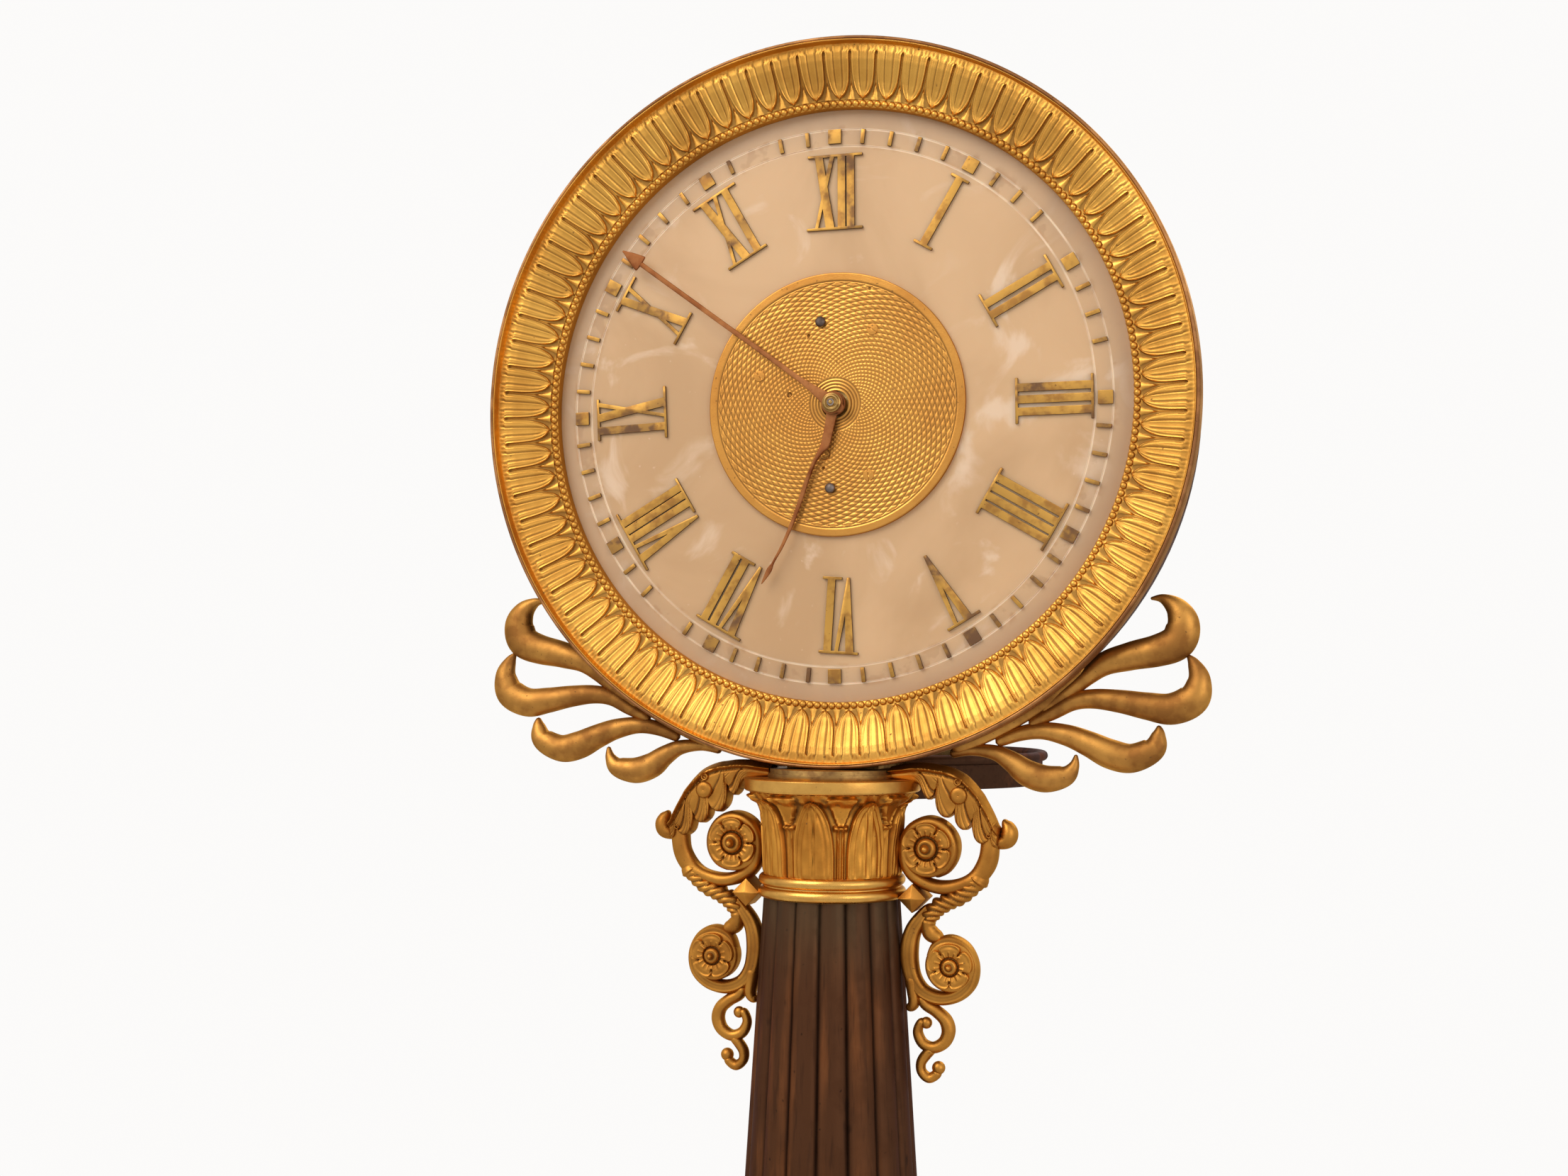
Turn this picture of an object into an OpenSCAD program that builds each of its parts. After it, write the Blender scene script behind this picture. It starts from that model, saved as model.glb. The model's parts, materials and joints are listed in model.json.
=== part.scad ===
// Night clock: an alabaster dial in a gilt bezel on a reeded column, lit from behind by a small oil lamp.
// Millimetres, +Z up, the front looks toward -Y, the column stands on the Z axis.
// Heights on the head are measured from the dial centre, and "q" values are |X| on a mirrored pair.

/* [Dial] */
// outer radius of the bezel rim
bezel_r = 100.4; // [90:0.1:113]
// front face of the alabaster, along Y
dial_y = 2.4; // [2:0.1:3]
// thickness of the alabaster
dial_t = 6; // [4:0.5:6]
// leaves round the bezel
leaf_count = 80; // [60:2:90]
// depth of the leaf relief
leaf_relief = 0.7; // [0.3:0.1:0.9]
// radius of the engine-turned centre disc
disc_r = 36.7; // [34:0.1:38]
// distance of the squares and minute bars from the bezel rim
track_inset = 25.25; // [24.5:0.05:26.5]
// how far the numerals stand off the dial
applied_t = 0.8; // [0.5:0.1:1]

/* [Drum] */
// back edge of the drum, along Y
drum_back_y = 26.4; // [26:0.1:30]
// wall of the drum
drum_wall = 1.5; // [1:0.1:2]

/* [Hands] */
// minute hand, degrees clockwise from twelve
minute_angle = 306.3; // [0:0.1:360]
// distance of the minute hand's tip beyond the middle of the minute track
minute_over = 2.1; // [0:0.05:3.5]

/* [Column] */
// length of the reeded shaft
shaft_len = 170.7; // [150:0.1:200]
// radius of the shaft at its foot
shaft_foot_r = 29.3; // [27:0.1:31]
// radius of the shaft under the capital
shaft_top_r = 18.7; // [18:0.1:19]
// reeds round the shaft
reed_count = 16; // [12:1:20]
// depth of the hollow between two reeds at the foot
reed_depth = 1.5; // [0.8:0.1:2]
// radius of the tie rod
rod_r = 3; // [2.5:0.1:4]

/* [Base] */
// width of the plinth block
plinth_w = 104; // [96:1:120]
// height of the plinth block
plinth_h = 22; // [18:1:30]

/* [Lamp] */
// distance of the lamp behind the column
lamp_y = 76; // [76:1:82]
// outer radius of the lamp pan
pan_r = 46; // [40:1:46]
// radius of the oil font
font_r = 21; // [18:1:24]

/* [Movement] */
// radius of the movement plates
plate_r = 35; // [34:0.5:36]
// distance between the plates
plate_gap = 12; // [12:0.5:14]

/* [Hidden] */
$fn = 96;
foot_h = 8;
board_t = 3;
cap_plate_h = 6;
base_ring_h = 14;
z_block = foot_h;
z_cap_plate = z_block + plinth_h;
z_base_ring = z_cap_plate + cap_plate_h;
z_shaft = z_base_ring + base_ring_h;
z_astragal = z_shaft + shaft_len;
astragal_h = 6.4;
z_bell = z_astragal + astragal_h;
bell_h = 22.3;
z_abacus = z_bell + bell_h;
abacus_h = 3.6;
abacus_r = 24;
z_neck = z_abacus + abacus_h;
neck_r = 17.7;
rim_over_neck = 2.6;
head_z = z_neck + bezel_r + rim_over_neck;
fit = 0.05;

// sizes that follow the bezel: the drum, the dial's edge, the minute track and what stands inside it
rim_over_drum = 2.8;
drum_r = bezel_r - rim_over_drum;
bezel_inner_r = bezel_r - 18;
dial_r = bezel_inner_r + 1.6;
dial_bore_r = 31;
track_r = bezel_r - track_inset;
minute_len = track_r + minute_over;
measured_track_r = 75.15;
dial_scale = track_r / measured_track_r;
measured_drum_r = 97.6;
drum_scale = drum_r / measured_drum_r;

// height that the brackets' control points are measured from, above the neck
scroll_rise = 103;
z_scroll = z_neck + scroll_rise;
front_plate_y = dial_y + dial_t;
plate_t = 1.6;
gap_y = front_plate_y + plate_t;
back_plate_y = gap_y + plate_gap;
back_y = back_plate_y + plate_t;
arbor_r = 1;

// gear sizes: teeth and module of each pair, with the distance between its centres
cannon_n = 12;
minute_wheel_n = 36;
motion_m1 = 0.5;
minute_pinion_n = 10;
hour_wheel_n = 40;
motion_m2 = 0.48;
motion_d = 12;
motion_at = 300;
barrel_n = 72;
centre_pinion_n = 12;
barrel_m = 0.4;
barrel_d = 16.8;
barrel_at = 210;
centre_wheel_n = 64;
third_pinion_n = 8;
centre_m = 0.4;
third_d = 14.4;
third_at = 60;
third_wheel_n = 60;
fourth_pinion_n = 8;
third_m = 0.36;
fourth_d = 12.24;
fourth_at = 150;
fourth_wheel_n = 54;
fourth_m = 0.36;
balance_at = [13.5, -13.5];

function polar(d, a) = [d * cos(a), d * sin(a)];
barrel_p = polar(barrel_d, barrel_at);
third_p = polar(third_d, third_at);
fourth_p = third_p + polar(fourth_d, fourth_at);
motion_p = polar(motion_d, motion_at);
click_at = barrel_p + polar(12.5, 80);

// heights on the arbors, along Y from the face of the front plate's inner side
centre_wheel_y = [0.4, 1.4];
third_pinion_y = [0.2, 2.0];
third_wheel_y = [3.0, 4.0];
fourth_pinion_y = [2.8, 4.6];
fourth_wheel_y = [5.4, 6.4];
barrel_y = [2.2, 10.6];
barrel_teeth_y = [8.8, 10.6];
centre_pinion_y = [8.4, 11.0];

disc_screws = [[-4.2, 23.1], [-1.2, -23.3]];
flush_screws = [[10.6, 20.4], [-22.0, 8.6], [9.6, -19.9]];
pillar_angles = [30, 150, 270];
pillar_ring = 31;

// colours
gilt = [0.85, 0.65, 0.3];
dull_gilt = [0.72, 0.5, 0.22];
brass = [0.7, 0.58, 0.32];
dark_bronze = [0.22, 0.15, 0.11];
alabaster = [0.86, 0.78, 0.7];
steel = [0.5, 0.5, 0.5];
rusted = [0.4, 0.26, 0.2];
cotton = [0.9, 0.88, 0.8];
wood = [0.35, 0.22, 0.12];

// places a flat drawing in a plane that faces the front, raised toward the front
module face(y) {
  translate([0, y, head_z]) rotate([90, 0, 0]) children();
}

// the same for the brackets
module scroll_face(y) {
  translate([0, y, z_scroll]) rotate([90, 0, 0]) children();
}

// places a turned profile (radius, distance behind y) on the dial's axis
module turned(y) {
  translate([0, y, head_z]) rotate([-90, 0, 0]) rotate_extrude() children();
}

// a round bar along Y between two depths
module bar_y(p, r, y0, y1) {
  face(y1) translate(p) cylinder(r = r, h = y1 - y0);
}

// smooth curve through control points, each [q, z, half width, half thickness]
function knot(p, i) = p[max(0, min(len(p) - 1, i))];
function spline_at(p, i, t) =
  0.5 * (2 * knot(p, i)
    + (knot(p, i + 1) - knot(p, i - 1)) * t
    + (2 * knot(p, i - 1) - 5 * knot(p, i) + 4 * knot(p, i + 1) - knot(p, i + 2)) * t * t
    + (3 * knot(p, i) - knot(p, i - 1) - 3 * knot(p, i + 1) + knot(p, i + 2)) * t * t * t);
function spline(p, steps) = concat(
  [for (i = [0:len(p) - 2]) for (k = [0:steps - 1]) spline_at(p, i, k / steps)],
  [p[len(p) - 1]]);

// a tapering rod swept along a curve in the plane y = y0, its heights measured from z0
module strand(control, steps, y0 = 0, z0 = z_scroll, sides = 8) {
  p = spline(control, steps);
  n = len(p);
  points = [for (i = [0:n - 1])
    let (d = p[min(n - 1, i + 1)] - p[max(0, i - 1)], l = norm([d[0], d[1]]), nx = -d[1] / l, nz = d[0] / l)
    for (k = [0:sides - 1])
      let (a = 360 * k / sides)
      [p[i][0] + nx * p[i][2] * cos(a), y0 + p[i][3] * sin(a), z0 + p[i][1] + nz * p[i][2] * cos(a)]];
  sidewalls = [for (i = [0:n - 2]) for (k = [0:sides - 1]) for (half = [0, 1])
    let (a = i * sides + k, b = i * sides + (k + 1) % sides, c = b + sides, d = a + sides)
    half == 0 ? [a, b, c] : [a, c, d]];
  start = [for (k = [sides - 1:-1:0]) k];
  end = [for (k = [0:sides - 1]) (n - 1) * sides + k];
  polyhedron(points, concat(sidewalls, [start, end]));
}

// the right-hand piece, or its mirror image
module hand_of(side) {
  if (side > 0) children();
  else mirror([1, 0, 0]) children();
}

// outline of a wheel or pinion with slim pointed teeth
module gear_2d(teeth, m, turn = 0) {
  root = m * (teeth / 2 - 1.2);
  tip = m * (teeth / 2 + 0.95);
  pitch = 360 / teeth;
  polygon([for (k = [0:teeth - 1]) for (q = [[-0.2, root], [-0.145, m * teeth / 2], [-0.05, tip],
      [0.05, tip], [0.145, m * teeth / 2], [0.2, root]])
    polar(q[1], turn + (k + q[0]) * pitch)]);
}

// turn of a driven gear so that its gap meets the driver's tooth across the line of centres
function mesh_turn(at, driver_turn, driver_n, driven_n) =
  let (f = (at - driver_turn) * driver_n / 360)
  at + 180 + (f - floor(f)) * 360 / driven_n - 180 / driven_n;

// a gear on an arbor between two depths behind the front plate
module wheel(p, teeth, m, ys, turn, y_base = gap_y) {
  face(y_base + ys[1]) translate(p) linear_extrude(ys[1] - ys[0]) gear_2d(teeth, m, turn);
}

third_turn = mesh_turn(third_at, 0, centre_wheel_n, third_pinion_n);
fourth_turn = mesh_turn(fourth_at, third_turn, third_wheel_n, fourth_pinion_n);
barrel_turn = mesh_turn(barrel_at, 0, centre_pinion_n, barrel_n);
minute_wheel_turn = mesh_turn(motion_at, 0, cannon_n, minute_wheel_n);
hour_wheel_turn = mesh_turn(motion_at + 180, minute_wheel_turn, minute_pinion_n, hour_wheel_n);

// base

module moulded_square(w, profile_h) {
  intersection_for(turn = [0, 90]) rotate([0, 0, turn]) translate([0, w / 2, 0]) rotate([90, 0, 0])
    linear_extrude(w) moulding_2d(w, profile_h);
}

module moulding_2d(w, h) {
  difference() {
    translate([-w / 2, 0]) square([w, h]);
    for (s = [-1, 1]) translate([s * w / 2, h]) circle(r = h * 0.55, $fn = 48);
  }
}

module plinth_foot() color(gilt) difference() {
  moulded_square(plinth_w + 10, foot_h);
  translate([0, 0, foot_h / 2 - 1]) cube([plinth_w - 12, plinth_w - 12, foot_h + 2], center = true);
}

module base_board() color(wood) translate([0, 0, board_t / 2])
  cube([plinth_w - 12, plinth_w - 12, board_t], center = true);

module plinth_block() color(dark_bronze) difference() {
  translate([0, 0, z_block + plinth_h / 2]) cube([plinth_w, plinth_w, plinth_h], center = true);
  translate([0, 0, z_block + plinth_h / 2 - 5]) cube([plinth_w - 8, plinth_w - 8, plinth_h], center = true);
  translate([0, 0, z_block]) cylinder(r = rod_r + fit, h = plinth_h + 1);
}

module plinth_cap() color(gilt) difference() {
  translate([0, 0, z_cap_plate + cap_plate_h]) mirror([0, 0, 1]) moulded_square(plinth_w + 6, cap_plate_h);
  translate([0, 0, z_cap_plate - 1]) cylinder(r = rod_r + fit, h = cap_plate_h + 2);
}

module base_ring() color(gilt) translate([0, 0, z_base_ring]) rotate_extrude() difference() {
  union() {
    square([34, base_ring_h]);
    translate([34, 4]) circle(r = 4);
    translate([32.2, 12]) circle(r = 2);
  }
  square([rod_r + fit, base_ring_h + 1]);
  translate([37.4, 9]) circle(r = 2.6);
}

// column

module reed_2d(r, depth) {
  steps = 5;
  polygon([for (k = [0:reed_count * steps - 1])
    let (s = 2 * (k % steps) / steps - 1, a = (k / steps) * 360 / reed_count - 85)
    polar(r - depth * s * s, a)]);
}

shaft_bore_r = 13;
module column_shaft() color(dark_bronze) difference() {
  translate([0, 0, z_shaft]) linear_extrude(shaft_len, scale = shaft_top_r / shaft_foot_r)
    reed_2d(shaft_foot_r, reed_depth);
  translate([0, 0, z_shaft - 1]) cylinder(r = shaft_bore_r, h = shaft_len + 2);
}

module astragal() color(gilt) translate([0, 0, z_astragal]) rotate_extrude() difference() {
  union() {
    square([18.9, astragal_h]);
    translate([18.7, 1.55]) circle(r = 1.55);
    translate([18.6, 4.9]) circle(r = 1.5);
  }
  square([rod_r + fit, astragal_h]);
}

// relief of the capital: eight pointed leaves, with a bud on a stem between each two
bell_rows = 12;
bell_columns = 96;
function bell_core(v) = 18.3 + 1.0 * v + 3.6 * pow(max(0, v - 0.72) / 0.28, 2);
function leaf_edge(v) = 16.5 * sqrt(max(0, 1 - pow(max(0, (v - 0.25) / 0.67), 2)));
function bell_relief(u, v) =
  let (edge = leaf_edge(v), a = abs(u), b = abs(22.5 - a))
  a < edge ? 1.1 - 0.35 * (1 - cos(360 * a / 7.5)) + (a < 1 ? 0.4 : 0)
  : v > 0.52 && v < 0.95 && b < 5 ? 1.2 * (v > 0.6 ? 1 : 0.7)
  : b < 1.5 ? 0.5 : 0;
function bell_r(a, v) = bell_core(v) + (v < 0.99 ? bell_relief((a + 22.5) % 45 - 22.5, v) : 0.4);

module capital_bell() color(gilt) difference() {
  bell_solid();
  translate([0, 0, z_bell - 1]) cylinder(r = rod_r + fit, h = bell_h + 2);
}

module bell_solid() {
  points = [for (i = [0:bell_rows]) for (k = [0:bell_columns - 1])
    let (v = i / bell_rows, a = k * 360 / bell_columns, r = bell_r(a, v))
    [r * sin(a), -r * cos(a), z_bell + bell_h * v]];
  n = bell_columns;
  sidewalls = [for (i = [0:bell_rows - 1]) for (k = [0:n - 1]) for (half = [0, 1])
    let (a = i * n + k, b = i * n + (k + 1) % n, c = b + n, d = a + n)
    half == 0 ? [a, c, b] : [a, d, c]];
  polyhedron(points, concat(sidewalls, [[for (k = [0:n - 1]) k],
    [for (k = [n - 1:-1:0]) bell_rows * n + k]]));
}

module abacus() color(gilt) difference() {
  translate([0, 0, z_abacus]) rotate_extrude() union() {
    square([abacus_r - 0.4, abacus_h]);
    translate([0, 0.5]) square([abacus_r, abacus_h - 1]);
  }
  translate([0, 0, z_abacus - 1]) cylinder(r = rod_r + fit, h = abacus_h + 2);
  for (s = [-1, 1]) translate([s * bracket_screw_q, bracket_screw_y, z_abacus - 1])
    cylinder(r = 1.3, h = abacus_h + 2);
}

neck_h = 2.5;
saddle_y0 = 0;
saddle_y1 = 24;
module neck_collar() color(brass) difference() {
  union() {
    translate([0, 0, z_neck]) rotate_extrude() union() {
      square([neck_r, 1.3]);
      square([neck_r - 0.6, neck_h]);
    }
    translate([-13, saddle_y0, z_neck]) cube([26, saddle_y1 - saddle_y0, 7]);
  }
  face(saddle_y1 + 1) cylinder(r = drum_r, h = saddle_y1 + 1 - saddle_y0 + 0.9);
  translate([0, 0, z_neck - 1]) cylinder(r = rod_r + fit, h = 3);
  for (s = [-1, 1]) translate([s * arm_screw_x, saddle_y1 - 8, arm_screw_z]) rotate([-90, 0, 0])
    cylinder(r = 1.3, h = 9);
}

rod_z = z_cap_plate - 13;
module tie_rod() color(steel) translate([0, 0, rod_z]) cylinder(r = rod_r, h = z_neck + 2 - rod_z);

module tie_nut() color(brass) difference() {
  union() {
    translate([0, 0, z_cap_plate - 5 - 1.2]) cylinder(r = 9, h = 1.2);
    translate([0, 0, z_cap_plate - 5 - 6.2]) linear_extrude(5) hexagon_2d(6);
  }
  translate([0, 0, 0]) cylinder(r = rod_r + fit, h = z_cap_plate);
}

module hexagon_2d(r) {
  polygon([for (k = [0:5]) polar(r, 60 * k)]);
}

// head

bead_r = 1.05;
bead_y = -0.7;
rim_front_y = -8.2;
rim_edge = 0.9;
seat_y = -3.2;
module bezel_frame() color(gilt) union() {
  turned(0) polygon(concat([[bezel_inner_r, -0.6], [bezel_inner_r, dial_y], [bezel_inner_r + 3.1, dial_y],
    [bezel_inner_r + 3.9, 0.3], [bezel_inner_r + 7.2, -0.8], [drum_r - 2.6, seat_y],
    [drum_r, seat_y], [drum_r, -1], [bezel_r, -1], [bezel_r, rim_front_y + 0.4], [bezel_r - 0.3, rim_front_y],
    [bezel_r - rim_edge, rim_front_y]], [for (i = [len(leaf_back) - 1:-1:0]) leaf_back[i]]));
  turned(0) translate([bezel_inner_r + 0.95, bead_y]) circle(r = bead_r, $fn = 32);
}

// the band of leaves, laid on the frame: radius and front height of each row
leaf_back = [for (p = [[2, -0.5], [7.6, -2.1], [13.1, -4.4], [16.55, -4.5]]) [bezel_inner_r + p[0], p[1]]];
leaf_rows = [for (p = [[2, -1.1], [4.6, -1.8], [13.1, -5.1], [16.55, -5.3]]) [bezel_inner_r + p[0], p[1]]];
leaf_columns = 4;
rib_heights = [1, 0.8, 0.8, 0.3];
flank_heights = [0, 0.6, 1, 0.3];
function leaf_height(u, i) =
  leaf_relief * (u == 0 ? rib_heights[i] : abs(u) == 0.25 ? flank_heights[i] : i == 1 ? 0.3 : 0);

module bezel_leaves() color(gilt) {
  n = leaf_count * leaf_columns;
  ring = len(leaf_rows) + len(leaf_back);
  points = [for (k = [0:n - 1])
    let (a = 360 * k / n, u = (k % leaf_columns) / leaf_columns, s = u > 0.5 ? u - 1 : u)
    each concat(
      [for (i = [0:len(leaf_rows) - 1]) around(leaf_rows[i][0], leaf_rows[i][1] - leaf_height(s, i), a)],
      [for (i = [len(leaf_back) - 1:-1:0]) around(leaf_back[i][0], leaf_back[i][1], a)])];
  walls = [for (k = [0:n - 1]) for (i = [0:ring - 1]) for (half = [0, 1])
    let (a = k * ring + i, b = k * ring + (i + 1) % ring, c = ((k + 1) % n) * ring + (i + 1) % ring,
      d = ((k + 1) % n) * ring + i)
    half == 0 ? [a, b, c] : [a, c, d]];
  polyhedron(points, walls);
}

function around(r, y, a) = [r * sin(a), y, head_z + r * cos(a)];

// the minute track was laid out by hand, a little off the dial's centre
track_at = [-0.55, -0.15];
line_w = 0.3;
line_depth = 0.15;
lines_out = [-2.65, 2.05];
module dial_alabaster() color(alabaster) difference() {
  turned(dial_y) translate([dial_bore_r, 0]) square([dial_r - dial_bore_r, dial_t]);
  for (out = lines_out) face(dial_y + line_depth) translate(track_at) difference() {
    cylinder(r = track_r + out + line_w / 2, h = 1);
    cylinder(r = track_r + out - line_w / 2, h = 1);
  }
}

// how far each square is turned from its true place, in degrees, and the same between the squares
square_turns = [0, 0.9, 1, 0.3, -0.6, -1.4, -0.4, -1.7, -0.5, -1.1, -1.3, 0];
function track_turn(minute) = let (i = floor(minute / 5), t = minute / 5 - i)
  square_turns[i % 12] * (1 - t) + square_turns[(i + 1) % 12] * t;

module on_track(minute) {
  translate(track_at) rotate([0, 0, -6 * minute - track_turn(minute)]) translate([0, track_r]) children();
}

module hour_squares() color(gilt) face(dial_y) linear_extrude(applied_t)
  for (k = [0:11]) on_track(5 * k) square([3.7, 4] * dial_scale, center = true);

lost_bars = [9, 14, 37, 57];
module minute_bars() color(gilt) face(dial_y) linear_extrude(applied_t)
  for (k = [1:59]) if (k % 5 != 0 && len(search(k, lost_bars)) == 0)
    on_track(k) square([1.1, 4.1] * dial_scale, center = true);

numeral_h = 21.2;
serif_t = 0.75;
thick = 2.25;

// a flat piece of a numeral, drawn as measured
module applied() linear_extrude(applied_t) scale(dial_scale) children();

module stroke_i(u) applied() translate([u - thick / 2, 0]) square([thick, numeral_h]);

module serif(ends, top) applied() translate([ends[0], top ? numeral_h - serif_t : 0])
  square([ends[1] - ends[0], serif_t]);

module stroke_v(u) applied() translate([u, 0]) polygon([[-2.9, numeral_h], [-0.5, numeral_h], [0.25, 10.4],
  [1.7, numeral_h], [2.8, numeral_h], [0.45, 0], [-0.4, 0]]);

module stroke_x(u) {
  applied() translate([u, 0]) polygon([[-2.95, numeral_h], [-0.65, numeral_h], [2.95, 0], [0.4, 0]]);
  applied() translate([u, 0]) polygon([[1.7, numeral_h], [2.95, numeral_h], [-2, 0], [-2.95, 0]]);
}

// one numeral: its hour, its turn from there, the radius of its foot and its lean, all as measured,
// then the places of its strokes and the ends of its outer and inner serif lines
module numeral(hour, turn, foot, lean, ones, fives, tens, outer, inner) {
  rotate([0, 0, -30 * hour - turn]) translate([0, (foot + numeral_h / 2) * dial_scale, 0])
    rotate([0, 0, -lean]) translate([0, -numeral_h / 2 * dial_scale, 0]) union() {
      for (u = ones) stroke_i(u);
      for (u = fives) stroke_v(u);
      for (u = tens) stroke_x(u);
      serif(outer, true);
      for (s = inner) serif(s, false);
    }
}

module numerals() color(gilt) face(dial_y) union() {
  numeral(1, -0.15, 49.4, 0.6, [0], [], [], [-2.85, 2.85], [[-2.95, 2.95]]);
  numeral(2, 0.7, 48.8, 0.4, [-1.8, 1.6], [], [], [-5.2, 5.2], [[-5.15, 5.15]]);
  numeral(3, 0.4, 50.3, -1, [-3.3, -0.05, 3.25], [], [], [-6.3, 5.8], [[-6, 6.5]]);
  numeral(4, -0.1, 49.5, 0, [-4.2, -1.45, 1.3, 4], [], [], [-7.2, 7.2], [[-7, 7]]);
  numeral(5, -1, 49.3, 0, [], [0], [], [-5.3, 5], []);
  numeral(6, -0.7, 47.9, 4.3, [2.25], [-2.5], [], [-6.6, 4.7], [[-0.7, 4.8]]);
  numeral(7, -1.3, 49.7, 0.7, [2.1, 4.9], [-2.6], [], [-7.4, 7.4], [[-0.7, 7]]);
  numeral(8, -1, 50, 0.4, [-0.35, 2.25, 4.75], [-5.1], [], [-10.5, 8.1], [[-3.6, 7.6]]);
  numeral(9, -1.2, 49.9, -1.5, [-3.6], [], [1.8], [-6.4, 5.6], [[-6.9, 7.8]]);
  numeral(10, -1.8, 50.4, 1.5, [], [], [-0.3], [-5.5, 5.7], [[-5.7, 4.5]]);
  numeral(11, -1.1, 49.5, 1, [3.6], [], [-1.85], [-7.1, 7.3], [[-6.5, 6.5]]);
  numeral(12, -0.45, 48.8, 0, [1.95, 4.55], [], [-2.9], [-7.8, 8], [[-8.1, 8]]);
}

hour_pipe_r = 3;
module centre_disc() color(gilt) difference() {
  turned(dial_y - 1.2) difference() {
    translate([hour_pipe_r + 0.3, 0]) square([disc_r - hour_pipe_r - 0.3, 1.2]);
    for (r = [7.4, 34.4]) translate([r, -0.1]) square([0.5, 0.4]);
  }
  for (p = disc_screws) bar_y(p, 0.8, dial_y - 2, dial_y + 1);
  for (p = flush_screws) bar_y(p, 1.6, dial_y - 2, dial_y + 1);
}

module disc_screws() color(steel) for (p = disc_screws) {
  difference() {
    face(dial_y - 1.2) translate(p) intersection() {
      translate([0, 0, -0.4]) sphere(r = 1.45);
      cylinder(r = 1.5, h = 1.2);
    }
    face(dial_y - 1.9) translate(p) cube([3.2, 0.4, 1.2], center = true);
  }
  bar_y(p, 0.8, dial_y - 1.2, dial_y + 2.4);
}

module flush_screws() color(gilt) for (p = flush_screws) difference() {
  bar_y(p, 1.6, dial_y - 1.2, dial_y);
  face(dial_y - 1.2) translate(p) rotate([0, 0, 30]) cube([3.4, 0.4, 0.8], center = true);
}

module disc_posts() color(brass) for (p = disc_screws) difference() {
  bar_y(p, 2.4, dial_y, front_plate_y);
  bar_y(p, 0.8, dial_y - 1, dial_y + 2.4);
}

flange_y = front_plate_y + 1.4;
flange_t = 1.4;
flange_w = 7.2;
back_lip_w = 2.4;
retaining_places = [for (k = [0:5]) polar(drum_r - 5, 60 * k + 30)];
ring_gap = 0.2;
retaining_w = 16.9;
module drum_shell() color(dark_bronze) difference() {
  turned(0) union() {
    translate([drum_r - drum_wall, seat_y]) square([drum_wall, drum_back_y - seat_y]);
    translate([drum_r - flange_w, flange_y]) square([flange_w, flange_t]);
    translate([drum_r - back_lip_w, drum_back_y - drum_wall]) square([back_lip_w, drum_wall]);
  }
  for (p = retaining_places) bar_y(p, 1.2, flange_y - 1, flange_y + flange_t + 1);
}

module retaining_ring() color(brass) difference() {
  turned(front_plate_y) translate([drum_r - drum_wall - ring_gap - retaining_w, 0])
    square([retaining_w, flange_y - front_plate_y]);
  for (p = retaining_places) bar_y(p, 1.2, front_plate_y - 1, flange_y + 1);
}

module retaining_screws() color(steel) for (p = retaining_places) {
  bar_y(p, 1.2, front_plate_y, flange_y + flange_t);
  bar_y(p, 2.1, flange_y + flange_t, flange_y + flange_t + 1);
}

// sprays of four fronds, each from its tip to the root along the drum, their places as measured
function on_drum(p) = [for (k = p) [k[0] * drum_scale, k[1] * drum_scale, k[2], k[3]]];
frond_y = 1.6;
frond_1 = [[86.3, -54.3, 0.3, 0.4], [89.6, -54.5, 1.3, 1.5], [93.1, -57, 3, 3], [94.8, -61, 4.3, 3.8],
  [93.3, -65.6, 4.7, 4], [87.9, -68.1, 4.3, 3.8], [81, -69.5, 3.8, 3.4], [74.8, -71.3, 3.2, 2.9],
  [69.7, -74.9, 2.4, 2.4], [63.4, -79.9, 1.9, 1.9], [57.4, -84.4, 1.4, 1.4]];
frond_2 = [[95.9, -69.2, 0.4, 0.5], [97.4, -71.4, 1.6, 1.7], [98.9, -75.6, 3, 3], [97.4, -80.6, 4.2, 3.8],
  [91.8, -83.2, 4.2, 3.8], [85.4, -82.7, 3.7, 3.4], [78.5, -81.4, 3.1, 3], [71.6, -80.9, 2.6, 2.6],
  [65.7, -81.7, 2.3, 2.3], [60, -84.9, 1.9, 1.9], [54, -88, 1.4, 1.4]];
frond_3 = [[88.4, -87.6, 0.4, 0.5], [88.3, -90, 1.8, 1.8], [86.9, -93.8, 3.2, 3], [81.4, -96.4, 3.8, 3.6],
  [75.8, -95.3, 4, 3.7], [70.2, -92.9, 3.5, 3.3], [64.2, -90.5, 2.9, 2.8], [57.8, -89.5, 2.3, 2.3],
  [51, -90.5, 1.9, 1.9], [45, -92.9, 1.4, 1.4]];
frond_4 = [[66.7, -95.6, 0.4, 0.5], [66, -98.7, 1.5, 1.5], [63.7, -101.3, 2.8, 2.6], [58.5, -102.3, 3.6, 3.4],
  [53.6, -100.7, 3.6, 3.4], [49.5, -97.9, 2.9, 2.8], [44.7, -95.5, 2.1, 2.1], [38.5, -94.8, 1.5, 1.6],
  [32.5, -96.2, 1.2, 1.3]];

module spray(side) color(dull_gilt) hand_of(side) {
  for (f = [frond_1, frond_2, frond_3, frond_4]) strand(on_drum(f), 2, frond_y, head_z);
  rail();
}

// the curved strip along the drum that carries the fronds
rail_w = 4.8;
rail_t = 3.6;
rail_from = 136;
rail_to = 161;
module rail() {
  face(frond_y + rail_t / 2) linear_extrude(rail_t) difference() {
    intersection() {
      circle(r = drum_r + rail_w);
      polygon([[0, 0], polar(1.5 * drum_r, 90 - rail_from), polar(1.6 * drum_r, 90 - (rail_from + rail_to) / 2),
        polar(1.5 * drum_r, 90 - rail_to)]);
    }
    circle(r = drum_r);
  }
}

module spray_left() spray(-1);
module spray_right() spray(1);

// brackets

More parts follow.
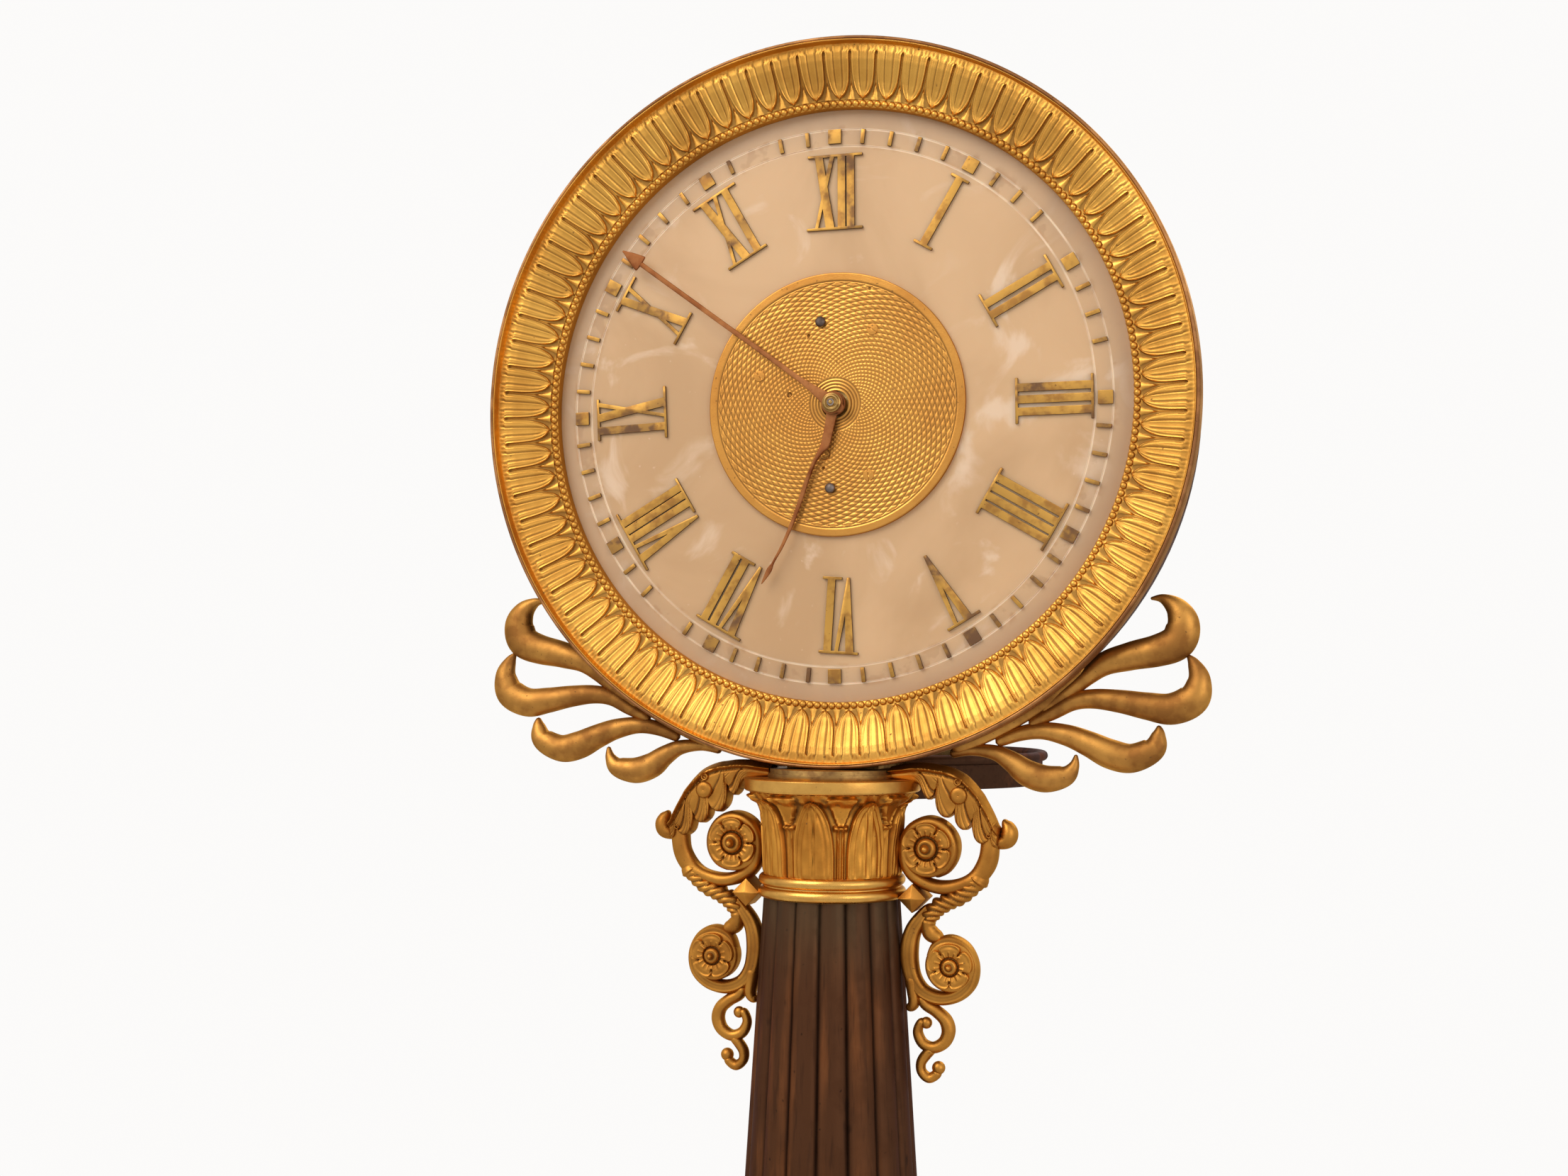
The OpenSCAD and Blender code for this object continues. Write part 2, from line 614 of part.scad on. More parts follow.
bracket_screw_q = 21.2;
bracket_screw_y = 2.4;
upper_volute = [27.6, -121.3];
lower_volute = [33.7, -153];
upper_web_t = 3.7;
lower_web_t = 2.7;
arch_path = [[19.5, -101.3, 1.7, 4.4], [26, -100.8, 2.3, 4], [33, -101.8, 2.5, 3.4], [38.8, -105.6, 2.6, 3.2],
  [42.1, -110.6, 2.6, 3], [43.7, -116, 2.5, 2.8], [43.8, -120.6, 2.4, 2.7], [42.6, -125.6, 2.5, 2.7],
  [39.3, -129.7, 2.4, 2.7], [34.3, -131.7, 2.1, 2.8], [28.6, -131.4, 2, 3], [23.6, -129.2, 1.9, 3.2],
  [21.1, -125.2, 1.8, 3.4], [21, -120.3, 1.8, 3.4], [23.4, -116.2, 1.7, 3.6], [27.5, -114.5, 1.6, 3.6],
  [31.6, -115.8, 1.6, 3.6], [34, -119.2, 1.4, 3.6], [34, -123.2, 1.2, 3.4]];
twist_path = [[40.7, -128.9, 2.3, 3], [36.6, -133.2, 2.8, 3.4], [32.3, -136.4, 2.7, 3.2],
  [29.3, -139.8, 2.3, 2.8], [27.9, -143.3, 1.8, 2.4], [28.2, -145.8, 1, 1.6]];
arm_path = [[28.6, -139.2, 1.6, 2.4], [25.2, -143, 2.2, 2.8], [23.2, -148.4, 2.6, 3], [23, -153.6, 2.6, 3],
  [23.9, -158.6, 2.1, 2.8], [26.2, -161.6, 1.9, 2.6], [31, -162.6, 1.9, 2.6], [36.2, -160.7, 1.9, 2.6],
  [39.3, -156.2, 1.8, 2.6], [39.3, -150.8, 1.7, 2.6], [36, -146.6, 1.7, 2.6], [31.4, -146.2, 1.6, 2.6],
  [27.9, -149.2, 1.5, 2.6], [27, -153.4, 1.3, 2.4]];
foot_path = [[24.4, -159.5, 1.8, 2.6], [23.8, -162.6, 1.5, 2.4], [22, -164.8, 1.1, 2]];
scroll_path = [[25.6, -162, 1.6, 2.2], [30.2, -165.4, 1.7, 2.1], [33, -169.2, 1.8, 2], [32.2, -173.2, 1.7, 2],
  [28.6, -175.2, 1.6, 1.9], [25.4, -173.4, 1.5, 1.8], [24.6, -170.3, 1.4, 1.7], [26.6, -168.4, 1.3, 1.6],
  [28, -169.8, 1.2, 1.6]];
tail_path = [[30.4, -174.6, 1.3, 1.8], [26.6, -177.8, 1.5, 1.8], [25.2, -181, 1.4, 1.7], [27, -183.6, 1.4, 1.7],
  [29.8, -183.4, 1.3, 1.6], [31, -181.4, 1.2, 1.6]];
acanthus_edge = [[19, -103], [25.5, -103.4], [28, -107.5], [33, -111], [38.5, -114.5], [43.4, -119], [45, -116],
  [43.4, -109], [39.6, -103.8], [33.4, -99.9], [26, -98.6], [19, -99.2]];
acanthus_lobes = [[27.2, -105.7, 2.5], [32.7, -110.3, 3.2], [37.6, -113, 3.1], [41.4, -117.2, 2.7]];

leaf_t = 7.2;
end_balls = [[27.9, -170.1, 1.8], [30.7, -181, 1.6]];
diamond_at = [24.2, -135.6];
diamond_w = 5.8;
diamond_t = 11;

module bracket(side) color(gilt) hand_of(side) difference() {
  union() {
    for (p = [arch_path, twist_path, arm_path, foot_path, scroll_path, tail_path]) strand(p, 2);
    scroll_face(leaf_t / 2) linear_extrude(leaf_t) {
      polygon(acanthus_edge);
      for (l = acanthus_lobes) translate([l[0], l[1]]) circle(r = l[2]);
    }
    bracket_block();
    volute_web(upper_volute, 7.2, upper_web_t);
    volute_web(lower_volute, 6.6, lower_web_t);
    for (b = end_balls) translate([b[0], 0, z_scroll + b[1]]) sphere(r = b[2]);
    bracket_knob();
    translate([diamond_at[0], 0, z_scroll + diamond_at[1]]) rotate([0, 45, 0])
      cube([diamond_w, diamond_t, diamond_w], center = true);
  }
  translate([0, 0, z_neck - 1]) cylinder(r = neck_r, h = 8);
  translate([bracket_screw_q, bracket_screw_y, z_neck - 1]) cylinder(r = 1.3, h = 8);
  translate([bracket_screw_q, bracket_screw_y, z_neck + block_size[2]]) cylinder(r = 2.1, h = 4);
  face(bezel_r) cylinder(r = bezel_r + 0.4, h = 2 * bezel_r);
}

// the flat end that lies on the abacus beside the neck
block_size = [7, 9, 3.6];
module bracket_block() {
  translate([neck_r - 1.2, -block_size[1] / 2, z_neck]) cube(block_size);
}

module volute_web(c, r, half_t) {
  scroll_face(half_t) translate(c) cylinder(r = r, h = 2 * half_t);
}

knob_at = [48.9, -118.2];
knob_r = 2.5;
knob_h = 3.6;
module bracket_knob() translate([knob_at[0], 0, z_scroll + knob_at[1]]) {
  cylinder(r = knob_r, h = knob_h);
  sphere(r = knob_r);
  translate([0, 0, knob_h]) sphere(r = knob_r);
  translate([-5.4, 0, -0.4]) rotate([0, 90, 0]) cylinder(r = 1.7, h = 5);
}

module bracket_left() bracket(-1);
module bracket_right() bracket(1);

module bracket_screws() color(brass) for (s = [-1, 1]) translate([s * bracket_screw_q, bracket_screw_y, 0]) {
  translate([0, 0, z_abacus + 0.4]) cylinder(r = 1.3, h = z_neck + block_size[2] - z_abacus - 0.4);
  translate([0, 0, z_neck + block_size[2]]) cylinder(r = 2, h = 0.8);
}

// one six-petalled rosette, its back on the plane y, facing the front
module rosette(c, y, petal_r, h) {
  scroll_face(y) translate(c) {
    cylinder(r = petal_r * 1.6, h = h * 0.5);
    for (k = [0:5]) rotate([0, 0, 60 * k + 30]) translate([petal_r * 1.35, 0, 0])
      cylinder(r = petal_r, h = h * 0.7);
    cylinder(r = petal_r * 0.95, h = h);
    translate([0, 0, h - 0.3]) sphere(r = petal_r * 0.62);
  }
}

module rosette_set(c, half_t, petal_r, h) {
  for (side = [-1, 1]) hand_of(side) for (back = [0, 1]) mirror([0, back, 0]) rosette(c, -half_t, petal_r, h);
}

module upper_rosettes() color(gilt) rosette_set(upper_volute, upper_web_t, 2.65, 3.9);
module lower_rosettes() color(gilt) rosette_set(lower_volute, lower_web_t, 2.5, 2.5);

// hands

hour_elbow = [-2.6, -12];
hour_tip = [-20.6, -49.8];

module hour_hand() color(rusted) difference() {
  union() {
    bar_y([0, 0], 4.2, dial_y - 3.2, dial_y - 2.4);
    face(dial_y - 2.4) linear_extrude(0.8) polygon([[-1.3, 0], [1.3, 0], hour_elbow + [1.2, 0.4], [-8.4, -23],
      [-16, -40], hour_tip, [-17.2, -39.6], [-10.2, -22.6], hour_elbow + [-1.2, -0.2]]);
  }
  bar_y([0, 0], hour_pipe_r, dial_y - 4, dial_y);
}

module hour_wheel() color(brass) {
  difference() {
    union() {
      wheel([0, 0], hour_wheel_n, motion_m2, [1.2, 2.4], hour_wheel_turn, dial_y);
      bar_y([0, 0], hour_pipe_r, dial_y - 3.2, dial_y + 3.2);
    }
    bar_y([0, 0], 2.3 + fit, dial_y - 4, dial_y + 4);
  }
}

module cannon_pinion() color(brass) difference() {
  union() {
    bar_y([0, 0], 2.3, dial_y - 4.6, dial_y + 3.3);
    wheel([0, 0], cannon_n, motion_m1, [3.3, 5.5], 0, dial_y);
  }
  bar_y([0, 0], arbor_r, dial_y - 6, dial_y + 6);
}

minute_w = 1.4;
module minute_hand() color(rusted) difference() {
  union() {
    bar_y([0, 0], 3.6, dial_y - 4.6, dial_y - 3.8);
    face(dial_y - 3.8) rotate([0, 0, -minute_angle]) linear_extrude(0.8) polygon([[-1.1, 0], [-minute_w / 2, 12],
      [-minute_w / 2, minute_len - 7], [-2.3, minute_len - 6.8], [-1.5, minute_len - 3.4], [-0.3, minute_len],
      [0.3, minute_len], [1.5, minute_len - 3.4], [2.3, minute_len - 6.8], [minute_w / 2, minute_len - 7],
      [minute_w / 2, 12], [1.1, 0]]);
  }
  bar_y([0, 0], 2.3, dial_y - 5, dial_y - 3);
}

module hand_collet() color(brass) difference() {
  turned(dial_y) polygon([[0, -4.6], [3.2, -4.6], [3.2, -5.1], [2.4, -5.4], [2.4, -5.9], [1.3, -6.4], [0, -6.4]]);
  bar_y([0, 0], arbor_r, dial_y - 6, dial_y - 4);
}

// movement

module centre_arbor() color(steel) {
  bar_y([0, 0], arbor_r, dial_y - 6, back_plate_y);
  wheel([0, 0], centre_pinion_n, barrel_m, centre_pinion_y, 0);
}

module crossed_wheel(p, teeth, m, ys, turn, hub) {
  difference() {
    wheel(p, teeth, m, ys, turn);
    face(gap_y + ys[1] + 1) translate(p) linear_extrude(ys[1] - ys[0] + 2) difference() {
      circle(r = m * teeth / 2 - 2.2);
      circle(r = hub);
      for (k = [0:3]) rotate([0, 0, 90 * k]) translate([0, -0.7]) square([m * teeth, 1.4]);
    }
    bar_y(p, arbor_r, gap_y + ys[0] - 1, gap_y + ys[1] + 1);
  }
}

module centre_wheel() color(brass) crossed_wheel([0, 0], centre_wheel_n, centre_m, centre_wheel_y, 0, 3);

module third_arbor() color(steel) {
  bar_y(third_p, 0.8, gap_y, back_plate_y);
  bar_y(third_p, arbor_r, gap_y + third_pinion_y[0], gap_y + third_wheel_y[1]);
  wheel(third_p, third_pinion_n, centre_m, third_pinion_y, third_turn);
}

module third_wheel() color(brass)
  crossed_wheel(third_p, third_wheel_n, third_m, third_wheel_y, third_turn, 2.4);

module fourth_arbor() color(steel) {
  bar_y(fourth_p, 0.8, gap_y, back_plate_y);
  bar_y(fourth_p, arbor_r, gap_y + fourth_pinion_y[0], gap_y + fourth_wheel_y[1]);
  wheel(fourth_p, fourth_pinion_n, third_m, fourth_pinion_y, fourth_turn);
}

module fourth_wheel() color(brass)
  crossed_wheel(fourth_p, fourth_wheel_n, fourth_m, fourth_wheel_y, 0, 2.4);

barrel_body_r = 13.2;
barrel_arbor_r = 2;
module barrel() color(brass) difference() {
  union() {
    bar_y(barrel_p, barrel_body_r, gap_y + barrel_y[0], gap_y + barrel_y[1]);
    wheel(barrel_p, barrel_n, barrel_m, barrel_teeth_y, barrel_turn);
  }
  bar_y(barrel_p, barrel_body_r - 1.2, gap_y + barrel_y[0] + 1, gap_y + barrel_y[1] - 1.8);
  bar_y(barrel_p, barrel_arbor_r + fit, gap_y, gap_y + plate_gap);
}

square_w = 2.6;
module barrel_arbor() color(steel) {
  bar_y(barrel_p, barrel_arbor_r, gap_y, back_y);
  face(back_y + 6.4) translate([barrel_p[0] - square_w / 2, barrel_p[1] - square_w / 2, 0])
    cube([square_w, square_w, 6.4]);
}

ratchet_n = 24;
ratchet_r = 7.6;
module ratchet_wheel() color(steel) face(back_y + 1.8) translate(barrel_p) linear_extrude(1.6) difference() {
  polygon([for (k = [0:ratchet_n - 1]) for (q = [[0, ratchet_r - 1.1], [0.12, ratchet_r], [0.3, ratchet_r]])
    polar(q[1], (k + q[0]) * 360 / ratchet_n)]);
  square([square_w, square_w], center = true);
}

module click() color(steel) difference() {
  union() {
    bar_y(click_at, 2, back_y + 0.2, back_y + 1.8);
    face(back_y + 1.8) linear_extrude(1.6) polygon([click_at + [-1.2, 1.05], click_at + [1.2, -1.05],
      barrel_p + polar(7.9, 108), barrel_p + polar(6.85, 119), barrel_p + polar(8.2, 121)]);
  }
  bar_y(click_at, arbor_r + fit, back_y, back_y + 2);
}

balance_r = 8;
balance_ys = [1.8, 2.8];
module balance_wheel() color(brass) {
  face(back_y + balance_ys[1]) translate(balance_at) linear_extrude(balance_ys[1] - balance_ys[0]) {
    difference() {
      circle(r = balance_r);
      circle(r = balance_r - 1.1);
    }
    translate([-balance_r + 0.5, -0.5]) square([2 * balance_r - 1, 1]);
    circle(r = 1.4);
  }
  bar_y(balance_at, 0.5, back_y - 1, back_y + 4.4);
}

cock_foot = balance_at + [9.6, -9.6];
module balance_cock() color(brass) difference() {
  union() {
    face(back_y + 5) linear_extrude(1.2) {
      translate(balance_at) circle(r = 3);
      translate(cock_foot) circle(r = 3.2);
      polygon([balance_at + [-1.4, -2.6], cock_foot + [-1.4, -2.8], cock_foot + [2.8, 1.4],
        balance_at + [2.6, 1.4]]);
    }
    bar_y(cock_foot, 3.2, back_y, back_y + 5);
  }
  bar_y(balance_at, 0.5 + fit, back_y + 3.5, back_y + 4.45);
}

module front_plate() color(brass) difference() {
  union() {
    bar_y([0, 0], plate_r, front_plate_y, gap_y);
    bar_y(motion_p, arbor_r, dial_y + 0.6, front_plate_y);
    bar_y(motion_p, 2, dial_y + 4.85, front_plate_y);
  }
  bar_y([0, 0], arbor_r + fit, front_plate_y - 1, gap_y + 1);
}

module back_plate() color(brass) difference() {
  bar_y([0, 0], plate_r, back_plate_y, back_y);
  bar_y(barrel_p, barrel_arbor_r + fit, back_plate_y - 1, back_y + 1);
  bar_y(balance_at, 0.5 + fit, back_y - 1.1, back_y + 1);
}

module pillars() color(brass) for (a = pillar_angles)
  bar_y(polar(pillar_ring, a), 2.2, gap_y, back_plate_y);

module movement_screws() color(steel) {
  for (a = pillar_angles) bar_y(polar(pillar_ring, a), 2, back_y, back_y + 1);
  bar_y(click_at, arbor_r, back_y, back_y + 1.85);
  bar_y(click_at, 1.9, back_y + 1.85, back_y + 2.6);
}

module minute_wheel() color(brass) difference() {
  union() {
    wheel(motion_p, minute_wheel_n, motion_m1, [3.6, 4.8], minute_wheel_turn, dial_y);
    wheel(motion_p, minute_pinion_n, motion_m2, [0.9, 3.6], minute_wheel_turn, dial_y);
  }
  bar_y(motion_p, arbor_r + fit, dial_y, dial_y + 6);
}

// lamp

pan_h = 10;
pan_drop = 5;
z_pan = z_neck - pan_drop;
arm_t = 4.5;
arm_screw_x = 6;
arm_screw_z = z_neck + 2.6;
module lamp_arm() color(dark_bronze) difference() {
  union() {
    translate([-9, saddle_y1, z_arm]) cube([18, 3, z_neck + 4.4 - z_arm]);
    translate([-7, saddle_y1, z_arm]) cube([14, lamp_y - saddle_y1, arm_t]);
    translate([0, lamp_y, z_arm]) cylinder(r = 16, h = arm_t);
  }
  for (s = [-1, 1]) translate([s * arm_screw_x, saddle_y1 - 1, arm_screw_z]) rotate([-90, 0, 0])
    cylinder(r = 1.3, h = 6);
}
z_arm = z_pan - arm_t;

module arm_screws() color(brass) for (s = [-1, 1]) translate([s * arm_screw_x, saddle_y1, arm_screw_z])
  rotate([-90, 0, 0]) {
    translate([0, 0, -7]) cylinder(r = 1.3, h = 10);
    translate([0, 0, 3]) cylinder(r = 1.8, h = 1);
  }

module lamp_pan() color(dark_bronze) translate([0, lamp_y, z_pan]) rotate_extrude() union() {
  square([pan_r - 2, pan_t]);
  translate([pan_r - 3, 0]) square([1.4, pan_h - 1]);
  translate([pan_r - 1.5, pan_h - 1.5]) circle(r = 1.5, $fn = 48);
}

font_h = 24;
pan_t = 1.2;
font_z = z_pan + pan_t;
module oil_font() color(brass) translate([0, lamp_y, font_z]) rotate_extrude() difference() {
  union() {
    square([font_r * 0.7, 2]);
    intersection() {
      translate([0, font_h / 2]) scale(1) circle(r = font_r);
      translate([0, 1]) square([font_r, font_h - 2]);
    }
    translate([0, font_h - 2]) square([8, 4]);
  }
  square([2.4 + fit, font_h + 4]);
}

module burner() color(brass) translate([0, lamp_y, font_z + font_h + 2]) rotate_extrude() difference() {
  polygon([[0, 0], [9, 0], [9, 2], [6.5, 3.5], [6.5, 9], [4.5, 13], [3.2, 17], [0, 17]]);
  square([2.4 + fit, 18]);
}

wick_len = 36;
module wick() color(cotton) translate([0, lamp_y, font_z + font_h + 2 + 17 + 3 - wick_len])
  cylinder(r = 2.4, h = wick_len);

plinth_foot();
base_board();
plinth_block();
plinth_cap();
base_ring();
column_shaft();
astragal();
capital_bell();
abacus();
neck_collar();
tie_rod();
tie_nut();
bezel_frame();
bezel_leaves();
dial_alabaster();
hour_squares();
minute_bars();
numerals();
centre_disc();
disc_screws();
flush_screws();
disc_posts();
drum_shell();
retaining_ring();
retaining_screws();
spray_left();
spray_right();
bracket_left();
bracket_right();
bracket_screws();
upper_rosettes();
lower_rosettes();
hour_hand();
hour_wheel();
cannon_pinion();
minute_hand();
hand_collet();
centre_arbor();
centre_wheel();
third_arbor();
third_wheel();
fourth_arbor();
fourth_wheel();
barrel();
barrel_arbor();
ratchet_wheel();
click();
balance_wheel();
balance_cock();
front_plate();
back_plate();
pillars();
movement_screws();
minute_wheel();
lamp_arm();
arm_screws();
lamp_pan();
oil_font();
burner();
wick();
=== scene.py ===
"""Looks of the night clock: dial, bezel, column, brackets, fronds, movement and lamp.

All sizes are millimetres unless a name says otherwise. The column stands on the Z axis and the
dial looks toward -Y. On the head, z is measured from the dial centre and q is the distance from
the middle plane.
"""
from __future__ import annotations

import json
import logging
import math
from dataclasses import dataclass
from enum import Enum
from typing import Callable, Iterable, Optional, Sequence

import bpy
import numpy as np
from mathutils import Matrix, Vector

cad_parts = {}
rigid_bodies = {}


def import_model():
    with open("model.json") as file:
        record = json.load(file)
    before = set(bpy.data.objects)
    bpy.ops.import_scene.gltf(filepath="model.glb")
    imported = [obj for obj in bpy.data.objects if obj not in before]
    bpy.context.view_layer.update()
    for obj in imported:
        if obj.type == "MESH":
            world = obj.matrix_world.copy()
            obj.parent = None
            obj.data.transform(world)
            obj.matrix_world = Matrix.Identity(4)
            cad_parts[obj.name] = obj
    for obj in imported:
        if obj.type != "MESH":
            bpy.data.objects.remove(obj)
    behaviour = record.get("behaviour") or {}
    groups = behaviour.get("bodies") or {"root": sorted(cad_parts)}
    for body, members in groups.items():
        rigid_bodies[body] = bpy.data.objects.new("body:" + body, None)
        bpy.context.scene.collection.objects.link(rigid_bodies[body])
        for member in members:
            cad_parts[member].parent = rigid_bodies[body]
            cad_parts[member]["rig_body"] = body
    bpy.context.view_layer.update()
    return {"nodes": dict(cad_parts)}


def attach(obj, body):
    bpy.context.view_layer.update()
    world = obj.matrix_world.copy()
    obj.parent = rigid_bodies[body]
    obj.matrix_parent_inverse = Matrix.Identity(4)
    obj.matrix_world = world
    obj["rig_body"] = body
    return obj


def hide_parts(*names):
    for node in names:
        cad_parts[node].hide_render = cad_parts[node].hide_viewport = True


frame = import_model()

MM = 0.001  # metres in a millimetre
HEAD_Z = 356.0  # height of the dial's centre
DIAL_Y = 2.4  # the plane that the centre disc lies on
LOG = logging.getLogger("night_clock")

Piece = bpy.types.Object
Socket = bpy.types.NodeSocket
Outputs = bpy.types.NodeOutputs
Grid = np.ndarray
Knots = Sequence[Sequence[float]]
Relief = Callable[[Grid, Grid], Grid]
Place = Callable[[Grid, Grid], tuple[Grid, Optional[Grid]]]


class Side(Enum):
    """Which of a mirrored pair a piece is, as the sign of its X."""

    LEFT = -1
    RIGHT = 1


def deselect() -> None:
    """Leave object mode with nothing selected."""
    if bpy.context.object is not None and bpy.context.object.mode != "OBJECT":
        bpy.ops.object.mode_set(mode="OBJECT")
    bpy.ops.object.select_all(action="DESELECT")


def placed(name: str, data: bpy.types.ID) -> Piece:
    """Put a new object with that data into the scene."""
    obj = bpy.data.objects.new(name, data)
    bpy.context.scene.collection.objects.link(obj)
    return obj


def cube() -> Piece:
    """A cube with sides of one metre round the origin, to be scaled."""
    deselect()
    bpy.ops.mesh.primitive_cube_add(size=1.0, location=(0, 0, 0))
    return bpy.context.object


def sphere(radius: float, segments: int, rings: int) -> Piece:
    """A ball of a radius in mm round the origin."""
    deselect()
    bpy.ops.mesh.primitive_uv_sphere_add(
        segments=segments, ring_count=rings, radius=radius * MM, location=(0, 0, 0)
    )
    return bpy.context.object


def take(obj: Piece) -> None:
    """Make one object the selected and active one."""
    deselect()
    obj.select_set(True)
    bpy.context.view_layer.objects.active = obj


def close_seams(obj: Piece, gap: float = 2e-6, cap: bool = False) -> None:
    """Merge the points that meet and turn the faces outward.

    Args:
        obj: The piece.
        gap: The largest distance in metres between points that are merged.
        cap: True to close the open ends of a strip.
    """
    take(obj)
    bpy.ops.object.mode_set(mode="EDIT")
    bpy.ops.mesh.select_all(action="SELECT")
    bpy.ops.mesh.remove_doubles(threshold=gap)
    bpy.ops.mesh.dissolve_degenerate(threshold=gap / 4)
    bpy.ops.mesh.select_all(action="SELECT")
    if cap:
        bpy.ops.mesh.fill_holes(sides=0)
    bpy.ops.mesh.normals_make_consistent(inside=False)
    bpy.ops.object.mode_set(mode="OBJECT")


def smooth(obj: Piece, angle: float = 35.0) -> None:
    """Shade a piece smooth but for the edges sharper than an angle in degrees."""
    take(obj)
    bpy.ops.object.shade_smooth_by_angle(angle=math.radians(angle))


def apply_all(obj: Piece) -> None:
    """Apply every modifier of a piece in order."""
    take(obj)
    for modifier in list(obj.modifiers):
        bpy.ops.object.modifier_apply(modifier=modifier.name)


def bevel(obj: Piece, width: float, segments: int = 2, angle: float = 30.0) -> None:
    """Round a piece's sharp edges.

    Args:
        obj: The piece.
        width: The width of the rounding in mm.
        segments: Facets across the rounding.
        angle: The smallest angle between faces, in degrees, that is rounded.
    """
    modifier = obj.modifiers.new("bevel", "BEVEL")
    modifier.width = width * MM
    modifier.segments = segments
    modifier.limit_method = "ANGLE"
    modifier.angle_limit = math.radians(angle)
    apply_all(obj)


def tone_of(height: Grid, reach: int, depth: float) -> Grid:
    """How far each point stands above (1) or lies below (-1) what is round it.

    Args:
        height: Heights on a regular grid of rows and columns.
        reach: How many points to each side count.
        depth: The difference that counts as full.

    Returns:
        Values from -1 to 1 on the same grid.
    """
    near = np.zeros_like(height)
    for axis in (0, 1):
        for step in range(1, reach + 1):
            near += np.roll(height, step, axis) + np.roll(height, -step, axis)
    return np.clip((height - near / (4 * reach)) / depth, -1, 1)


def add_tone(obj: Piece, values: Grid) -> None:
    """Store the tone on a piece's points, for its finish to read."""
    layer = obj.data.attributes.new("tone", "FLOAT", "POINT")
    layer.data.foreach_set("value", np.ascontiguousarray(values, np.float32))


def sheet(
    name: str, columns: int, rows: int, place: Place, angle: float = 35.0, reach: int = 2,
    depth: float = 0.08, cap: bool = False,
) -> Piece:
    """Shape a flat grid into a relief, a turned piece or a swept rod.

    Args:
        name: The piece's name.
        columns: Faces along u.
        rows: Faces along v.
        place: Gives the points in mm, and heights for the tone or None, for arrays of u and v from
            0 to 1.
        angle: The angle in degrees above which an edge stays sharp.
        reach: How many points to each side the tone looks at.
        depth: The height difference in mm that gives full tone.
        cap: True to close the open ends.

    Returns:
        The closed piece.
    """
    deselect()
    bpy.ops.mesh.primitive_grid_add(
        x_subdivisions=columns, y_subdivisions=rows, size=2.0, location=(0, 0, 0)
    )
    obj = bpy.context.object
    obj.name = obj.data.name = name
    flat = np.empty(len(obj.data.vertices) * 3, np.float32)
    obj.data.vertices.foreach_get("co", flat)
    flat = flat.reshape(-1, 3)
    u, v = (flat[:, 0] + 1) / 2, (flat[:, 1] + 1) / 2
    order = np.lexsort((np.round(u, 6), np.round(v, 6)))
    shape = (rows + 1, columns + 1)
    points, height = place(*(t[order].reshape(shape).astype(float) for t in (u, v)))
    placed = np.empty((len(order), 3), np.float32)
    placed[order] = points.reshape(-1, 3) * MM
    obj.data.vertices.foreach_set("co", placed.ravel())
    if height is not None:
        tone = np.empty(len(order), np.float32)
        tone[order] = tone_of(height, reach, depth).ravel()
        add_tone(obj, tone)
    obj.data.update()
    close_seams(obj, cap=cap)
    smooth(obj, angle)
    return obj


def join(name: str, pieces: Sequence[Piece]) -> Piece:
    """Join pieces into one object of that name."""
    take(pieces[0])
    for piece in pieces[1:]:
        piece.select_set(True)
    if len(pieces) > 1:
        bpy.ops.object.join()
    pieces[0].name = pieces[0].data.name = name
    return pieces[0]


def copies(name: str, obj: Piece, places: Sequence[Matrix]) -> Piece:
    """Copy one modelled piece to several places, each copy with its own mesh, and join the copies.

    Args:
        name: The joined piece's name.
        obj: The piece to copy, which is used up.
        places: One matrix for each copy.

    Returns:
        The joined copies.
    """
    mesh = obj.data
    count = len(mesh.vertices)
    base = np.empty(count * 3, np.float32)
    mesh.vertices.foreach_get("co", base)
    base = np.c_[base.reshape(-1, 3), np.ones(count)]
    faces = [tuple(p.vertices) for p in mesh.polygons]
    points = np.concatenate([(base @ np.array(m).T)[:, :3] for m in places])
    made = bpy.data.meshes.new(name)
    repeated = [tuple(i + k * count for i in f) for k in range(len(places)) for f in faces]
    made.from_pydata(points.tolist(), [], repeated)
    made.update()
    result = placed(name, made)
    bpy.data.objects.remove(obj)
    close_seams(result, 1e-7)
    smooth(result, 40)
    return result


def head_point(x: Grid, y: Grid, z: Grid) -> Grid:
    """Points on the head from x, y and the height above the dial centre."""
    return np.stack([x, y, HEAD_Z + z], -1)


def polar_point(a: Grid, r: Grid, y: Grid) -> Grid:
    """Points round the dial's axis, with a clockwise from twelve in radians."""
    return head_point(r * np.sin(a), y, r * np.cos(a))


def unit(x: Grid) -> Grid:
    """Values kept from 0 to 1."""
    return np.clip(x, 0, 1)


def half_round(x: Grid) -> Grid:
    """The height of a round hill of radius 1, at x from its middle."""
    return np.sqrt(unit(1 - x**2))


def arched(x: Grid) -> Grid:
    """A quarter round that rises from 0 at 0 to 1 at 1."""
    return half_round(1 - unit(x))


def bump_at(x: Grid, centre: float | Grid, width: float | Grid) -> Grid:
    """A smooth hump of height 1."""
    return np.exp(-(((x - centre) / width) ** 2))


def step_up(x: Grid, low: float, high: float) -> Grid:
    """A smooth rise from 0 at low to 1 at high."""
    t = unit((x - low) / (high - low))
    return t * t * (3 - 2 * t)


